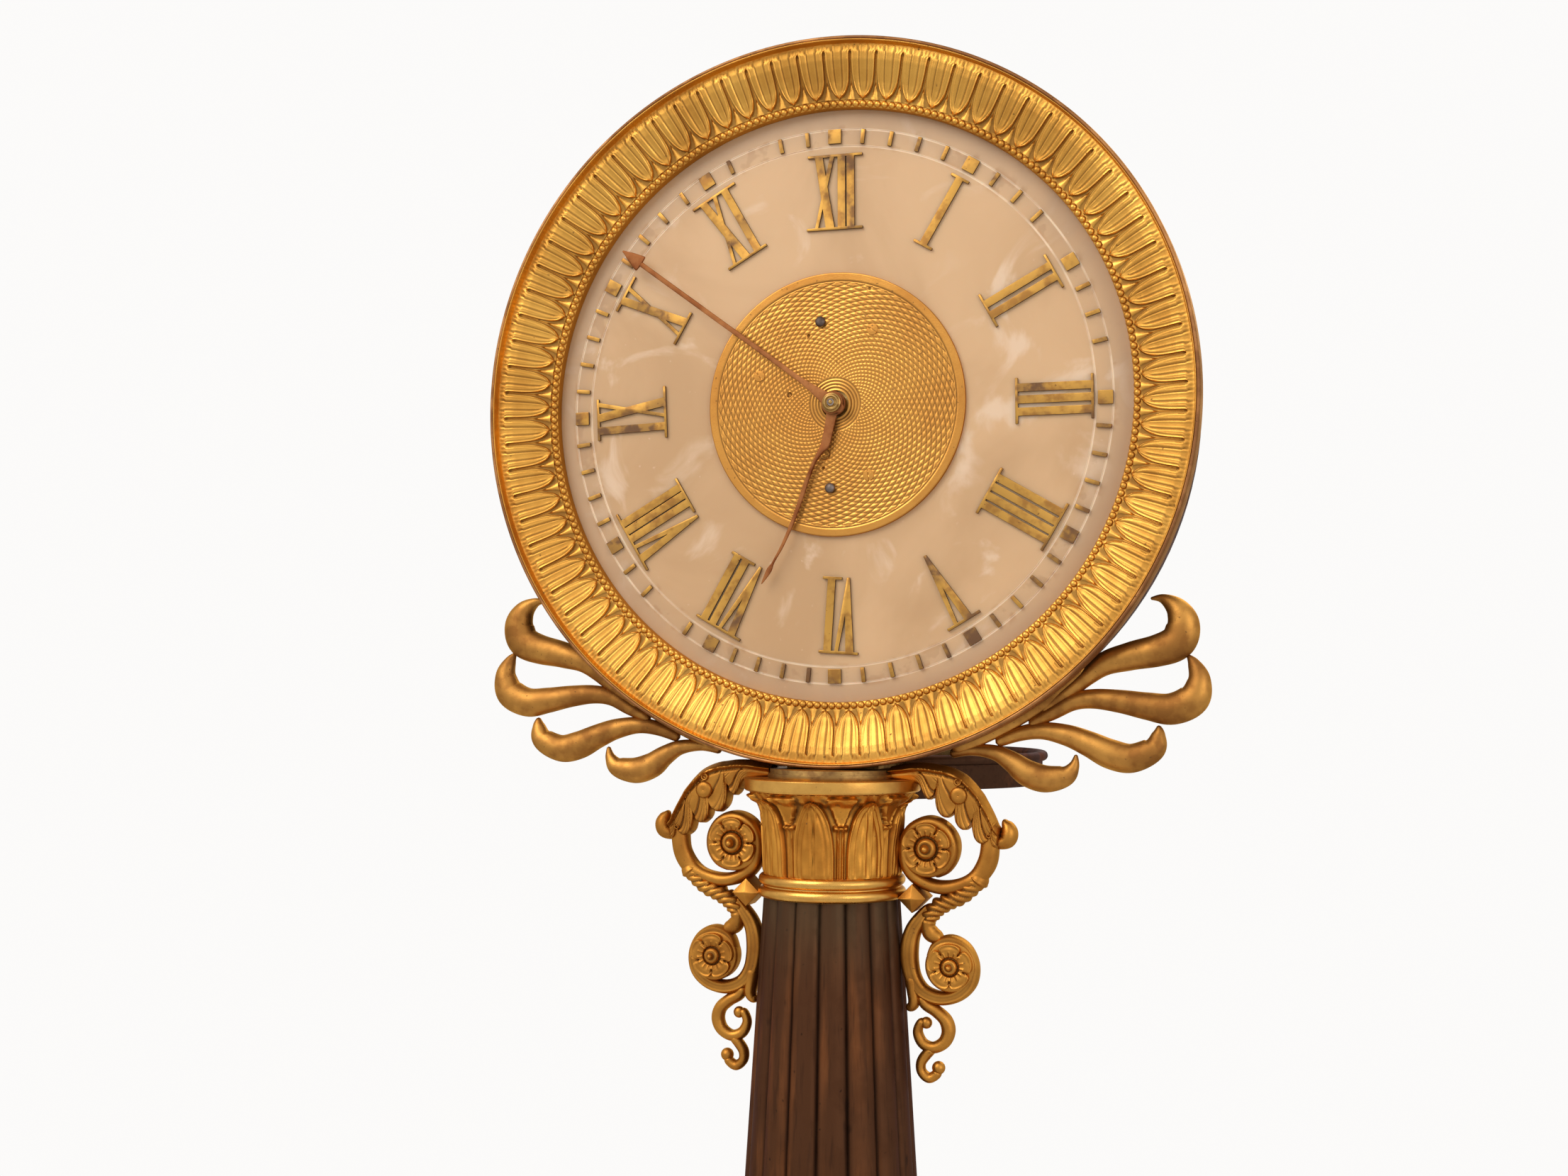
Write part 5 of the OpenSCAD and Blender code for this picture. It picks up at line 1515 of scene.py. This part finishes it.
@dataclass
class Bracket:
    """One scroll bracket between the abacus and the column.

    The rows of arch, twist, arm, toe, scroll, tail and curl hold q, z, half width and half
    thickness. The leaf's rows hold q and z of its outer and then of its inner edge, and its tips
    and notches are numbers of those rows. Eyes and balls hold q, z, y if needed, and radius.
    """

    side: Side
    arch: tuple = (
        (17.5, -101.3, 1.7, 3.2), (26, -100.9, 2.0, 2.9), (33, -102.2, 2.2, 2.7),
        (38.6, -106.2, 2.2, 2.6), (42.0, -111.2, 2.3, 2.5), (43.7, -116, 2.5, 2.6),
        (43.9, -120.6, 2.6, 2.8), (43.1, -124.9, 2.6, 2.8), (40.6, -128.6, 2.4, 2.8),
        (36.8, -130.8, 2.0, 2.9), (32.2, -131.8, 1.9, 3), (27.4, -131.2, 1.9, 3.1),
        (23.4, -128.9, 1.9, 3.3), (21.0, -125.2, 1.8, 3.5), (20.8, -120.3, 1.8, 3.7),
        (23.0, -116.1, 1.7, 3.9), (27.2, -114.3, 1.7, 4), (31.4, -115.6, 1.7, 3.9),
        (33.9, -119.0, 1.7, 3.7), (34.0, -123.2, 1.6, 3.5), (32.0, -126.8, 1.4, 3.2),
        (28.6, -128.4, 1.2, 2.8),
    )
    twist: tuple = (
        (42.2, -127.4, 2.5, 2.9), (41.3, -128.8, 2.5, 3.0), (39.8, -130.7, 2.35, 3.1),
        (36.2, -133.7, 2.45, 3.4), (32.6, -135.5, 2.4, 3.4), (29.4, -137.4, 2.45, 3.2),
        (27.4, -139.8, 2.4, 3.0), (26.9, -142.2, 2.0, 2.7), (27.8, -144.2, 2.3, 2.5),
        (29.8, -145.3, 1.9, 2.2), (31.4, -145.6, 1.3, 1.8),
    )
    arm: tuple = (
        (27.6, -136.8, 1.2, 2.0), (25.2, -140.0, 1.9, 2.6), (23.0, -143.4, 2.3, 2.8),
        (21.9, -147.4, 2.5, 3), (21.9, -152, 2.4, 3), (23.1, -156.6, 2.3, 2.9),
        (26.0, -160.0, 2.0, 2.7), (30.5, -161.4, 1.9, 2.7), (35.2, -160.3, 1.9, 2.8),
        (38.6, -157.0, 1.8, 2.9), (39.4, -152.2, 1.7, 2.9), (37.3, -147.9, 1.7, 2.9),
        (33.2, -146.0, 1.7, 2.9), (29.3, -147.6, 1.5, 2.9), (27.7, -151.4, 1.3, 2.8),
    )
    toe: tuple = (
        (22.4, -155, 2.1, 2.8), (22.9, -159.6, 1.8, 2.6), (23.2, -162.6, 1.7, 2.4),
        (22.3, -164.1, 1.4, 2.0), (21.0, -163.6, 1.0, 1.6),
    )
    scroll: tuple = (
        (24.9, -160.6, 1.5, 2.2), (26.4, -163.2, 1.6, 2.2), (29.2, -164.9, 1.75, 2.2),
        (31.8, -167.2, 1.85, 2.1), (32.6, -170.2, 1.85, 2.0), (31.4, -173.1, 1.75, 2.0),
        (28.5, -174.7, 1.65, 1.9), (25.6, -173.7, 1.5, 1.8), (24.2, -170.9, 1.35, 1.7),
        (24.9, -168.4, 1.25, 1.6), (26.3, -167.9, 1.2, 1.6),
    )
    tail: tuple = (
        (28.6, -174.9, 1.2, 1.8), (26.6, -176.6, 1.4, 1.8), (25.1, -178.9, 1.4, 1.8),
        (25.3, -181.3, 1.4, 1.7), (27.2, -182.8, 1.4, 1.7), (29.1, -181.9, 1.3, 1.6),
        (29.9, -180.4, 1.3, 1.6),
    )
    leaf_rows: tuple = (
        (16.7, -99.6, 17.1, -103.2), (21.7, -98.6, 22.7, -103.8), (25.0, -98.4, 24.9, -104.6),
        (27.5, -98.5, 25.8, -106.5), (29.0, -98.7, 27.2, -108.4), (30.2, -98.9, 28.6, -107.8),
        (31.0, -99.0, 29.3, -106.4), (31.8, -99.1, 29.4, -109.6), (33.0, -99.4, 30.2, -111.8),
        (35.0, -100.1, 32.0, -113.2), (37.0, -101.1, 33.9, -112.4), (38.0, -101.8, 34.7, -110.6),
        (38.6, -102.3, 34.6, -109.2), (39.2, -102.9, 34.5, -112.6), (40.0, -103.7, 35.1, -114.9),
        (41.0, -104.9, 36.7, -116.3), (42.0, -106.1, 38.3, -115.9), (42.6, -107.0, 39.0, -114.1),
        (43.2, -108.1, 39.4, -116.5), (44.1, -109.7, 40.1, -118.7), (44.9, -111.3, 41.7, -119.9),
        (45.5, -112.7, 43.5, -119.3), (45.9, -113.6, 44.1, -117.9), (46.3, -114.5, 44.8, -120.3),
        (47.0, -115.4, 46.4, -120.9),
    )
    leaf_tips: tuple = (4, 9, 15, 20, 24)
    drift: float = 7.0  # how many rows back a lobe's lines start at the outer edge
    leaf_notches: tuple = (6, 12, 17, 22)
    curl: tuple = (
        (45.2, -119.0, 1.7, 2.3), (46.9, -119.3, 1.9, 2.7), (48.6, -118.5, 2.3, 3.0),
        (49.1, -116.8, 2.35, 3.0), (48.7, -115.2, 1.9, 2.6), (48.0, -114.0, 1.1, 1.8),
        (47.6, -113.1, 0.4, 0.8),
    )
    upper: tuple[float, float] = (27.4, -121.2)
    lower: tuple[float, float] = (33.5, -152.6)
    eyes: tuple = ((35.8, -103.3, 4.0, 0.95), (44.1, -117.4, 3.3, 0.6))
    balls: tuple = ((26.5, -168.2, 1.6), (29.9, -180.0, 1.8))
    lobe_at: tuple[float, float] = (36.0, -106.9)
    lobe: tuple = ((0.0, 4.55), (1.2, 4.6), (1.9, 4.4), (2.35, 3.9), (2.4, 3.2), (0.0, 3.0))
    block_at: tuple[float, float] = (23.4, -134.7)
    block_side: float = 5.5
    block_depth: float = 8.4
    ridge_h: float = 1.5

    def leaf(self) -> Piece:
        """The acanthus leaf round the arch, with lobes along its inner edge, on both faces."""
        steps = 10
        path = catmull(self.leaf_rows, steps)
        count = len(path) - 1

        def place(u: Grid, v: Grid) -> tuple[Grid, Grid]:
            row = np.rint(u * count).astype(int)
            across = 1 - np.abs(2 * v - 1)
            face = np.where(v < 0.5, -1.0, 1.0)
            ox, oz, ix, iz = (path[row, k] for k in range(4))
            x, z = ox + (ix - ox) * across, oz + (iz - oz) * across
            width = np.hypot(ix - ox, iz - oz)
            mm_in, mm_edge = across * width, (1 - across) * width
            ridge_at = np.minimum(1.5, 0.3 * width)
            swell = np.where(mm_in < ridge_at, 1.3 + 3.3 * step_up(mm_in / ridge_at, 0, 1), 4.6)
            swell = swell - 1.0 * step_up(mm_in - ridge_at, 0.1, 1.0)
            swell = swell - 0.5 * step_up(across, 0.4, 0.8)
            flow = row / steps
            lean = self.drift * (1 - across) ** 1.2
            lines, lobes = np.zeros_like(u), np.zeros_like(u)
            for notch in self.leaf_notches:
                cut = (0.2 + 0.5 * across) * bump_at(flow, notch - lean, 0.2 + 0.14 * across)
                lines -= cut * step_up(across, 0.12, 0.4)
                lobes -= 1.0 * bump_at(flow, notch, 0.3) * bump_at(across, 0.93, 0.07)
            for tip in self.leaf_tips:
                at = tip - lean
                lobes += 0.45 * bump_at(flow, at, 1.3) * step_up(across, 0.35, 0.85)
                for shift in (-0.9, 0.0, 0.9):
                    vein = 0.2 * bump_at(flow, at + shift * (0.4 + 0.6 * across), 0.14)
                    lines -= vein * step_up(across, 0.2, 0.5)
            stem = 0.3 * bump_at(mm_in, ridge_at, 0.3) - 0.35 * bump_at(mm_in, ridge_at + 1.0, 0.4)
            height = (lines + lobes) * step_up(row / count, 0.02, 0.12) + stem
            ends = np.sqrt(unit((1 - row / count) / 0.02))
            y = face * (0.9 + (swell + height - 0.9) * arched(mm_edge / 1.1) * ends)
            return head_point(self.side.value * x, y * arched(mm_in / 0.8), z), height

        return sheet("leaf", count, 80, place, 60, 3, 0.22)

    def overlap(self, facing: int) -> Piece:
        """The small round lobe that lies over the leaf."""
        profile = [(r, facing * y) for r, y in self.lobe]
        centre = (self.side.value * self.lobe_at[0], self.lobe_at[1])
        return turned("overlap", profile, 0.3, 40, True, centre)

    def eye(self, q: float, z: float, y: float, r: float, facing: int) -> Piece:
        """A small raised ring with a sunk middle, the drilled eye between two lobes."""
        profile = [
            (0.0, -0.5), (0.5 * r, -0.4), (0.62 * r, 0.3), (r, 0.35), (1.3 * r, -0.5), (0.0, -1.2),
        ]
        facing_profile = [(a, facing * (y + b)) for a, b in profile]
        return turned("eye", facing_profile, 0.2, 24, True, (self.side.value * q, z))

    def web(self, centre: tuple[float, float], r: float, half: float) -> Piece:
        """The disc inside a volute that carries the rosettes."""
        profile = [
            (0, -half), (r - 1, -half), (r, 0.4 - half), (r, half - 0.4), (r - 1, half), (0, half),
        ]
        at = (self.side.value * centre[0], centre[1])
        return turned("web", profile, 0.9, 64, True, at)

    def diamond(self) -> Piece:
        """The lozenge block whose front rises to a level ridge."""
        block = cube()
        size = Matrix.Diagonal((self.block_side, self.block_depth, self.block_side, 1))
        block.data.transform(Matrix.Rotation(math.radians(45), 4, "Y") @ size)
        take(block)
        bpy.ops.object.mode_set(mode="EDIT")
        bpy.ops.mesh.select_all(action="DESELECT")
        bpy.ops.object.mode_set(mode="OBJECT")
        for facing in (-1, 1):
            for polygon in block.data.polygons:
                polygon.select = polygon.normal.y * facing > 0.9
            bpy.ops.object.mode_set(mode="EDIT")
            ridge = (0, facing * self.ridge_h, 0)
            bpy.ops.mesh.extrude_region_move(TRANSFORM_OT_translate={"value": ridge})
            bpy.ops.transform.resize(value=(0.92, 1, 0.05))
            bpy.ops.mesh.select_all(action="DESELECT")
            bpy.ops.object.mode_set(mode="OBJECT")
        q, z = self.block_at
        place = Vector((self.side.value * q, 0, HEAD_Z + z)) * MM
        block.data.transform(Matrix.Translation(place) @ Matrix.Scale(MM, 4))
        close_seams(block)
        bevel(block, 0.12, 2, 12)
        smooth(block, 20)
        return block

    def build(self) -> None:
        """Model the bracket's scrolls, leaf, block, knob and rosettes."""

        def channel(length: Grid, angle: Grid) -> Grid:
            face = np.abs(np.sin(angle))
            return -0.42 * bump_at(face, 1.0, 0.08) + 0.05 * np.sin(length * 0.5)

        def soft(length: Grid, angle: Grid) -> Grid:
            return 0.06 * np.sin(length * 0.6 + 2 * angle)

        def gadroon(length: Grid, angle: Grid) -> Grid:
            band = 0.25 * (1 - step_up(length, 2.9, 3.2))
            band += 0.22 * (bump_at(length, 0.5, 0.3) + bump_at(length, 2.7, 0.3))
            lobe = np.abs(np.sin(math.pi * (length + 1.8 * np.cos(angle)) / 2.15))
            deep = step_up(length, 3.4, 4.4) * (1 - step_up(length, 20.0, 20.8))
            husk = 0.3 * bump_at(length, 20.6, 0.4)
            return band + deep * (0.75 - 0.25 * np.cos(angle)) * (lobe - 0.75) - husk

        parts = [
            swept(name, self.side, knots, steps, sides, 0.0, squareness, relief)
            for name, knots, steps, sides, squareness, relief in (
                ("arch", self.arch, 8, 24, 2.4, soft),
                ("twist", self.twist, 16, 28, 2.0, gadroon),
                ("arm", self.arm, 8, 24, 2.4, channel),
                ("toe", self.toe, 8, 20, 2.2, soft),
                ("scroll", self.scroll, 9, 20, 2.0, soft),
                ("tail", self.tail, 9, 20, 2.0, soft),
            )
        ]
        parts += [self.leaf(), self.web(self.upper, 7.9, 3.6), self.web(self.lower, 7.0, 2.7)]
        parts += [self.diamond(), swept("curl", self.side, self.curl, 9, 28)]
        for facing in (-1, 1):
            parts += [self.overlap(facing)] + [self.eye(*eye, facing) for eye in self.eyes]
        parts += [self.ball(*ball) for ball in self.balls]
        name = self.side.name.lower()
        hand_over(join(f"bracket_cast_{name}", parts), "gilt", SHADED_BRACKET_GILT, f"bracket_{name}")

    def ball(self, q: float, z: float, r: float) -> Piece:
        """The ball that ends a scroll."""
        ball = sphere(r, 24, 16)
        place = Vector((self.side.value * q, 0, HEAD_Z + z)) * MM
        ball.data.transform(Matrix.Translation(place))
        smooth(ball, 60)
        return ball


@dataclass
class Rosettes:
    """The rosettes on both faces of both brackets."""

    upper: Rosette = Rosette(27.4, -121.2, 3.7, 6.9, 2.0, 4.6, 0.42, 6)
    lower: Rosette = Rosette(33.5, -152.6, 2.7, 6.2, 1.7, 3.4, 0.36, 5)

    def build(self) -> None:
        """Model the four upper and the four lower ones."""
        for kind, name in ((self.upper, "upper"), (self.lower, "lower")):
            made = [kind.build(side, facing) for side in Side for facing in (-1, 1)]
            hand_over(join(f"rosettes_{name}_cast", made), "gilt", SHADED_BRACKET_GILT, f"{name}_rosettes")
        hand_over(fair_copy("bracket_screws", 0.15), "brass", BRASS, "bracket_screws")


@dataclass
class Column:
    """The reeded shaft, the leaf capital, the abacus and the turned rings."""

    foot_z: float = 50.0
    top_z: float = 220.7
    foot_r: float = 29.3
    top_r: float = 18.7
    reeds: int = 16
    first_groove: float = 5.0
    bell_z: float = 227.1
    bell_h: float = 22.3
    shaft_bore: float = 13.0
    shaft_rows: int = 90
    lotus: int = 8
    mm_each: float = 0.33  # mm round the capital for one degree
    rod_bore: float = 3.05
    leaf_split: float = 0.72  # the share of the grid's columns that lie on the leaves
    abacus: tuple = (
        (3.05, 249.4), (22.8, 249.4), (23.85, 249.6), (24.15, 250.0), (24.2, 252.85), (24.0, 253.0),
        (3.05, 253.0),
    )

    def shaft(self) -> Piece:
        """The hollow shaft with sixteen rounded reeds that taper with it."""

        def place(u: Grid, v: Grid) -> tuple[Grid, Grid]:
            line = unit((v - 0.03) / 0.94)
            r = self.foot_r + (self.top_r - self.foot_r) * line
            groove = (360 * u - self.first_groove) * self.reeds / 360
            s = 2 * np.abs(groove - np.floor(groove) - 0.5)
            depth = (0.055 * s**2.4 + 0.02 * step_up(s, 0.8, 1.0)) * r
            r = np.where((v < 0.015) | (v > 0.985), self.shaft_bore, r - depth)
            z = self.foot_z + (self.top_z - self.foot_z) * line
            a = 2 * math.pi * u
            return np.stack([r * np.sin(a), -r * np.cos(a), z], -1), -depth

        return sheet("shaft_reeded", self.reeds * 18, self.shaft_rows, place, 50, 3, 0.45)

    def leaf_height(self, v: Grid, off: Grid, inside: Grid, number: Grid) -> Grid:
        """The height in mm of the capital's nested leaves.

        Args:
            v: The share of the way up.
            off: Degrees from the leaf's middle.
            inside: Distance in mm from the leaf's outline.
            number: Which leaf it is.

        Returns:
            The height.
        """
        nest = np.zeros_like(v)
        for at, tall, wide in ((0.4, 0.3, 0.32), (1.6, 0.24, 0.5)):
            nest += tall * bump_at(inside, at, wide)
            nest -= 0.16 * bump_at(inside, at + 0.75, 0.34)
        nest += 0.3 * np.sin(unit((inside - 2.2) / 2.6) * math.pi)
        mm = off * self.mm_each
        rib = 0.26 * bump_at(mm, 0.85, 0.26) - 0.1 * bump_at(mm, 0, 0.5)
        sag = 0.1 * np.sin(v * 19 + number * 2.1) * np.cos(off * 0.5)
        bulge = sag + 0.7 * half_round(off / 17.6)
        return 0.85 + bulge + (nest + rib) * step_up(v, 0.0, 0.06)

    def bud_height(self, v: Grid, mm: Grid) -> Grid:
        """The height in mm of a bud's stem, collar and cup, at a distance in mm from its middle."""
        stem = 0.6 * bump_at(mm, 0.65, 0.32) * (v < 0.6)
        collar = 1.35 * bump_at(v, 0.6, 0.03) * step_up(2.2 - mm, 0, 0.7)
        opened = unit((v - 0.63) / 0.3)
        cup_half = 1.2 + 2.6 * opened
        cup = (1.0 + 0.8 * opened) * step_up(cup_half - mm, 0, 0.5) * (v > 0.62)
        cup += 0.3 * bump_at(cup_half - mm, 0.55, 0.3) * (v > 0.64)
        return stem + collar + cup

    def bell(self) -> Piece:
        """The capital: eight nested lotus leaves, collared buds between them and a ragged lip.

        The grid's columns follow the leaves' outlines, so that their edges are clean.
        """
        pitch, share = 360 / self.lotus, self.leaf_split

        def place(u: Grid, v: Grid) -> tuple[Grid, Grid]:
            edge = 17.5 * half_round(unit((v - 0.22) / 0.68))
            side = 2 * ((self.lotus * u + 0.5) % 1) - 1
            split = np.maximum(edge, 5.0)
            off = np.abs(side)
            beyond = split + (off - share) / (1 - share) * (pitch / 2 - split)
            off = np.where(off < share, off / share * split, beyond)
            a = pitch * np.floor(self.lotus * u + 0.5) + np.sign(side) * off
            inside = (edge - off) * self.mm_each
            leaf = step_up(inside, -0.05, 0.3)
            leaves = leaf * self.leaf_height(v, off, inside, np.round(a / pitch))
            buds = self.bud_height(v, (pitch / 2 - off) * self.mm_each) * (1 - leaf)
            turn = np.radians(a)
            lip_edge = 0.905 + 0.016 * np.sin(turn * 24) + 0.006 * np.sin(turn * 56 + 1)
            lip = step_up(v, lip_edge - 0.06, lip_edge) * (1.1 + 0.2 * np.sin(turn * 40))
            height = np.maximum(leaves, buds) * (1 - step_up(v, 0.93, 0.97)) + lip
            height = np.where(v > 0.985, 0.9, height)
            r = 17.5 + 1.0 * v + 3.5 * unit((v - 0.72) / 0.28) ** 1.8 + height
            r = np.where((v < 0.006) | (v > 0.994), self.rod_bore, r)
            z = self.bell_z + self.bell_h * unit((v - 0.012) / 0.976)
            return np.stack([r * np.sin(turn), -r * np.cos(turn), z], -1), height

        return sheet("capital_leaves", 640, 118, place, 60, 3, 0.42)

    def build(self) -> None:
        """Model the shaft, the capital and the abacus, and dress the turned rings."""
        hand_over(self.shaft(), "dark_bronze", BRONZE, "column_shaft")
        hand_over(self.bell(), "gilt", CAST_GILT, "capital_bell")
        dress_copies([("astragal", 0.22, "gilt", TURNED_GILT)])
        abacus = turned("abacus_band", self.abacus, 0.1, 160, False)
        hand_over(abacus, "gilt", TURNED_GILT, "abacus")
        dress_copies([("neck_collar", 0.2, "brass", COLLAR_BRASS)])


@dataclass
class Base:
    """The ring and square plinth under the column, with the rod that holds the clock together."""

    def build(self) -> None:
        """Dress the base."""
        dress_copies([
            ("base_ring", 0.3, "gilt", TURNED_GILT),
            ("plinth_cap", 0.5, "gilt", TURNED_GILT),
            ("plinth_block", 0.5, "dark_bronze", DARK_BRONZE),
            ("plinth_foot", 0.5, "gilt", TURNED_GILT),
            ("base_board", 0.4, "wood", BOARD),
            ("tie_rod", 0.2, "steel", STEEL),
            ("tie_nut", 0.2, "brass", BRASS),
        ])


@dataclass
class Movement:
    """The small round movement behind the centre disc."""

    brass: tuple = (
        "hour_wheel", "cannon_pinion", "centre_wheel", "third_wheel", "fourth_wheel", "barrel",
        "balance_wheel", "balance_cock", "front_plate", "back_plate", "pillars", "minute_wheel",
    )
    steel: tuple = (
        "centre_arbor", "third_arbor", "fourth_arbor", "barrel_arbor", "ratchet_wheel", "click",
        "movement_screws",
    )
    rounded_nodes: tuple = (
        "front_plate", "back_plate", "balance_cock", "movement_screws", "barrel_arbor", "click",
    )

    def build(self) -> None:
        """Dress every piece, and round the edges of the larger ones."""
        kinds = ((self.brass, MOVEMENT_BRASS, "brass"), (self.steel, STEEL, "steel"))
        for names, finish, slot in kinds:
            for name in names:
                if name in self.rounded_nodes:
                    dress_copies([(name, 0.1, slot, finish)])
                else:
                    finish.paint_node(name)
                    LOG.info("%s painted", name)


@dataclass
class Lamp:
    """The oil lamp on its arm behind the dial."""

    def build(self) -> None:
        """Dress the arm, pan, font, burner and wick."""
        dress_copies([
            ("lamp_arm", 0.2, "dark_bronze", DARK_BRONZE),
            ("lamp_pan", 0.2, "dark_bronze", DARK_BRONZE),
            ("arm_screws", 0.2, "brass", BRASS),
            ("oil_font", 0.2, "brass", BRASS),
            ("burner", 0.2, "brass", BRASS),
            ("wick", 0.2, "cotton", COTTON),
        ])


@dataclass
class Studio:
    """The pale floor, the lamps, the world and the camera."""

    camera_at: tuple[float, float, float] = (0.1483, -0.5290, 0.2828)
    yaw: float = -17.07
    pitch: float = 2.31
    roll: float = 0.27
    lens: float = 45.85
    world_level: float = 0.5
    floor_fade: tuple[float, float] = (0.24, 0.6)
    floor_colour: tuple[float, float, float] = (0.84, 0.83, 0.81)
    world_colour: tuple[float, float, float] = (0.97, 0.96, 0.95)
    aim: tuple[float, float, float] = (0, 0, 0.3)
    lamps: tuple = (
        ("key", (-0.55, -0.85, 1.15), 0.9, 11.0, (1.0, 0.95, 0.88)),
        ("fill", (0.95, -0.7, 0.55), 0.7, 3.6, (1.0, 0.96, 0.92)),
        ("behind", (0.3, 0.9, 1.0), 0.8, 3.5, (1.0, 0.97, 0.95)),
    )

    def floor(self) -> None:
        """A round pale floor that keeps the clock's shadow and fades into the white round it."""
        near, far = self.floor_fade
        deselect()
        bpy.ops.mesh.primitive_circle_add(
            vertices=128, radius=far, fill_type="NGON", location=(0, 0, -0.0001)
        )
        ground = bpy.context.object
        ground.name = "floor"
        made = bpy.data.materials.new("pale_floor")
        made.use_nodes = True
        inside = Nodes(made.node_tree)
        shader = made.node_tree.nodes["Principled BSDF"].inputs
        inside.feed(shader["Base Color"], (*self.floor_colour, 1))
        inside.feed(shader["Roughness"], 0.9)
        where = inside.node("TexCoord").outputs["Object"]
        away = inside.vector("LENGTH", where, {}, "Value")
        inside.feed(shader["Alpha"], inside.mapped(away, near, far - 0.01, 1.0, 0.0))
        ground.data.materials.append(made)

    def world(self) -> None:
        """A pale world that shows white to the camera and in reflections."""
        world = bpy.data.worlds.new("pale_room")
        bpy.context.scene.world = world
        world.use_nodes = True
        inside = Nodes(world.node_tree)
        inside.tree.nodes.clear()
        ray = inside.node("LightPath").outputs
        up = inside.part(inside.node("TexCoord").outputs["Generated"], 2)
        mirrored = inside.product(ray["Is Glossy Ray"], inside.mapped(up, -0.5, 0.25, 0.35, 1.0))
        seen = inside.larger(ray["Is Camera Ray"], ray["Is Transmission Ray"])
        level = inside.mapped(inside.larger(seen, mirrored), 0, 1, self.world_level, 1.0)
        light = inside.node("Background", {0: (*self.world_colour, 1), 1: level})
        inside.node("OutputWorld", {0: light.outputs[0]})

    def light(self) -> None:
        """The soft lamps, each turned to a place below the dial."""
        for name, at, size, energy, colour in self.lamps:
            data = bpy.data.lights.new(name, "AREA")
            data.size, data.energy, data.color = size, energy, colour
            lamp = placed(name, data)
            lamp.location = at
            ahead = Vector(self.aim) - Vector(at)
            lamp.rotation_euler = ahead.to_track_quat("-Z", "Y").to_euler()

    def camera(self) -> None:
        """The camera at the photograph's place and angle."""
        yaw, pitch, roll = (math.radians(a) for a in (self.yaw, self.pitch, self.roll))
        ahead = Vector((math.sin(yaw), math.cos(yaw), 0))
        right = Vector((math.cos(yaw), -math.sin(yaw), 0))
        up = Vector((0, 0, 1))
        ahead, up = (
            ahead * math.cos(pitch) + up * math.sin(pitch),
            up * math.cos(pitch) - ahead * math.sin(pitch),
        )
        right, up = (
            right * math.cos(roll) + up * math.sin(roll),
            up * math.cos(roll) - right * math.sin(roll),
        )
        data = bpy.data.cameras.new("camera")
        data.lens, data.sensor_width, data.sensor_fit = self.lens, 36.0, "HORIZONTAL"
        camera = placed("camera", data)
        turn = Matrix((right, up, -ahead)).transposed().to_4x4()
        camera.matrix_world = Matrix.Translation(self.camera_at) @ turn
        bpy.context.scene.camera = camera

    def build(self) -> None:
        """Set up the whole studio."""
        self.floor()
        self.world()
        self.light()
        self.camera()
        bpy.context.scene.view_settings.view_transform = "Standard"


def main() -> None:
    """Build every sub-assembly in order."""
    logging.basicConfig(level=logging.INFO, format="%(name)s: %(message)s")
    assemblies: Iterable = (
        Bezel(), CentreDisc(), Dial(), Hands(), Drum(), Spray(Side.LEFT), Spray(Side.RIGHT),
        Bracket(Side.LEFT), Bracket(Side.RIGHT), Rosettes(), Column(), Base(), Movement(), Lamp(),
        Studio(),
    )
    for assembly in assemblies:
        assembly.build()
        LOG.info("%s done", type(assembly).__name__)


if __name__ == "__main__":
    main()
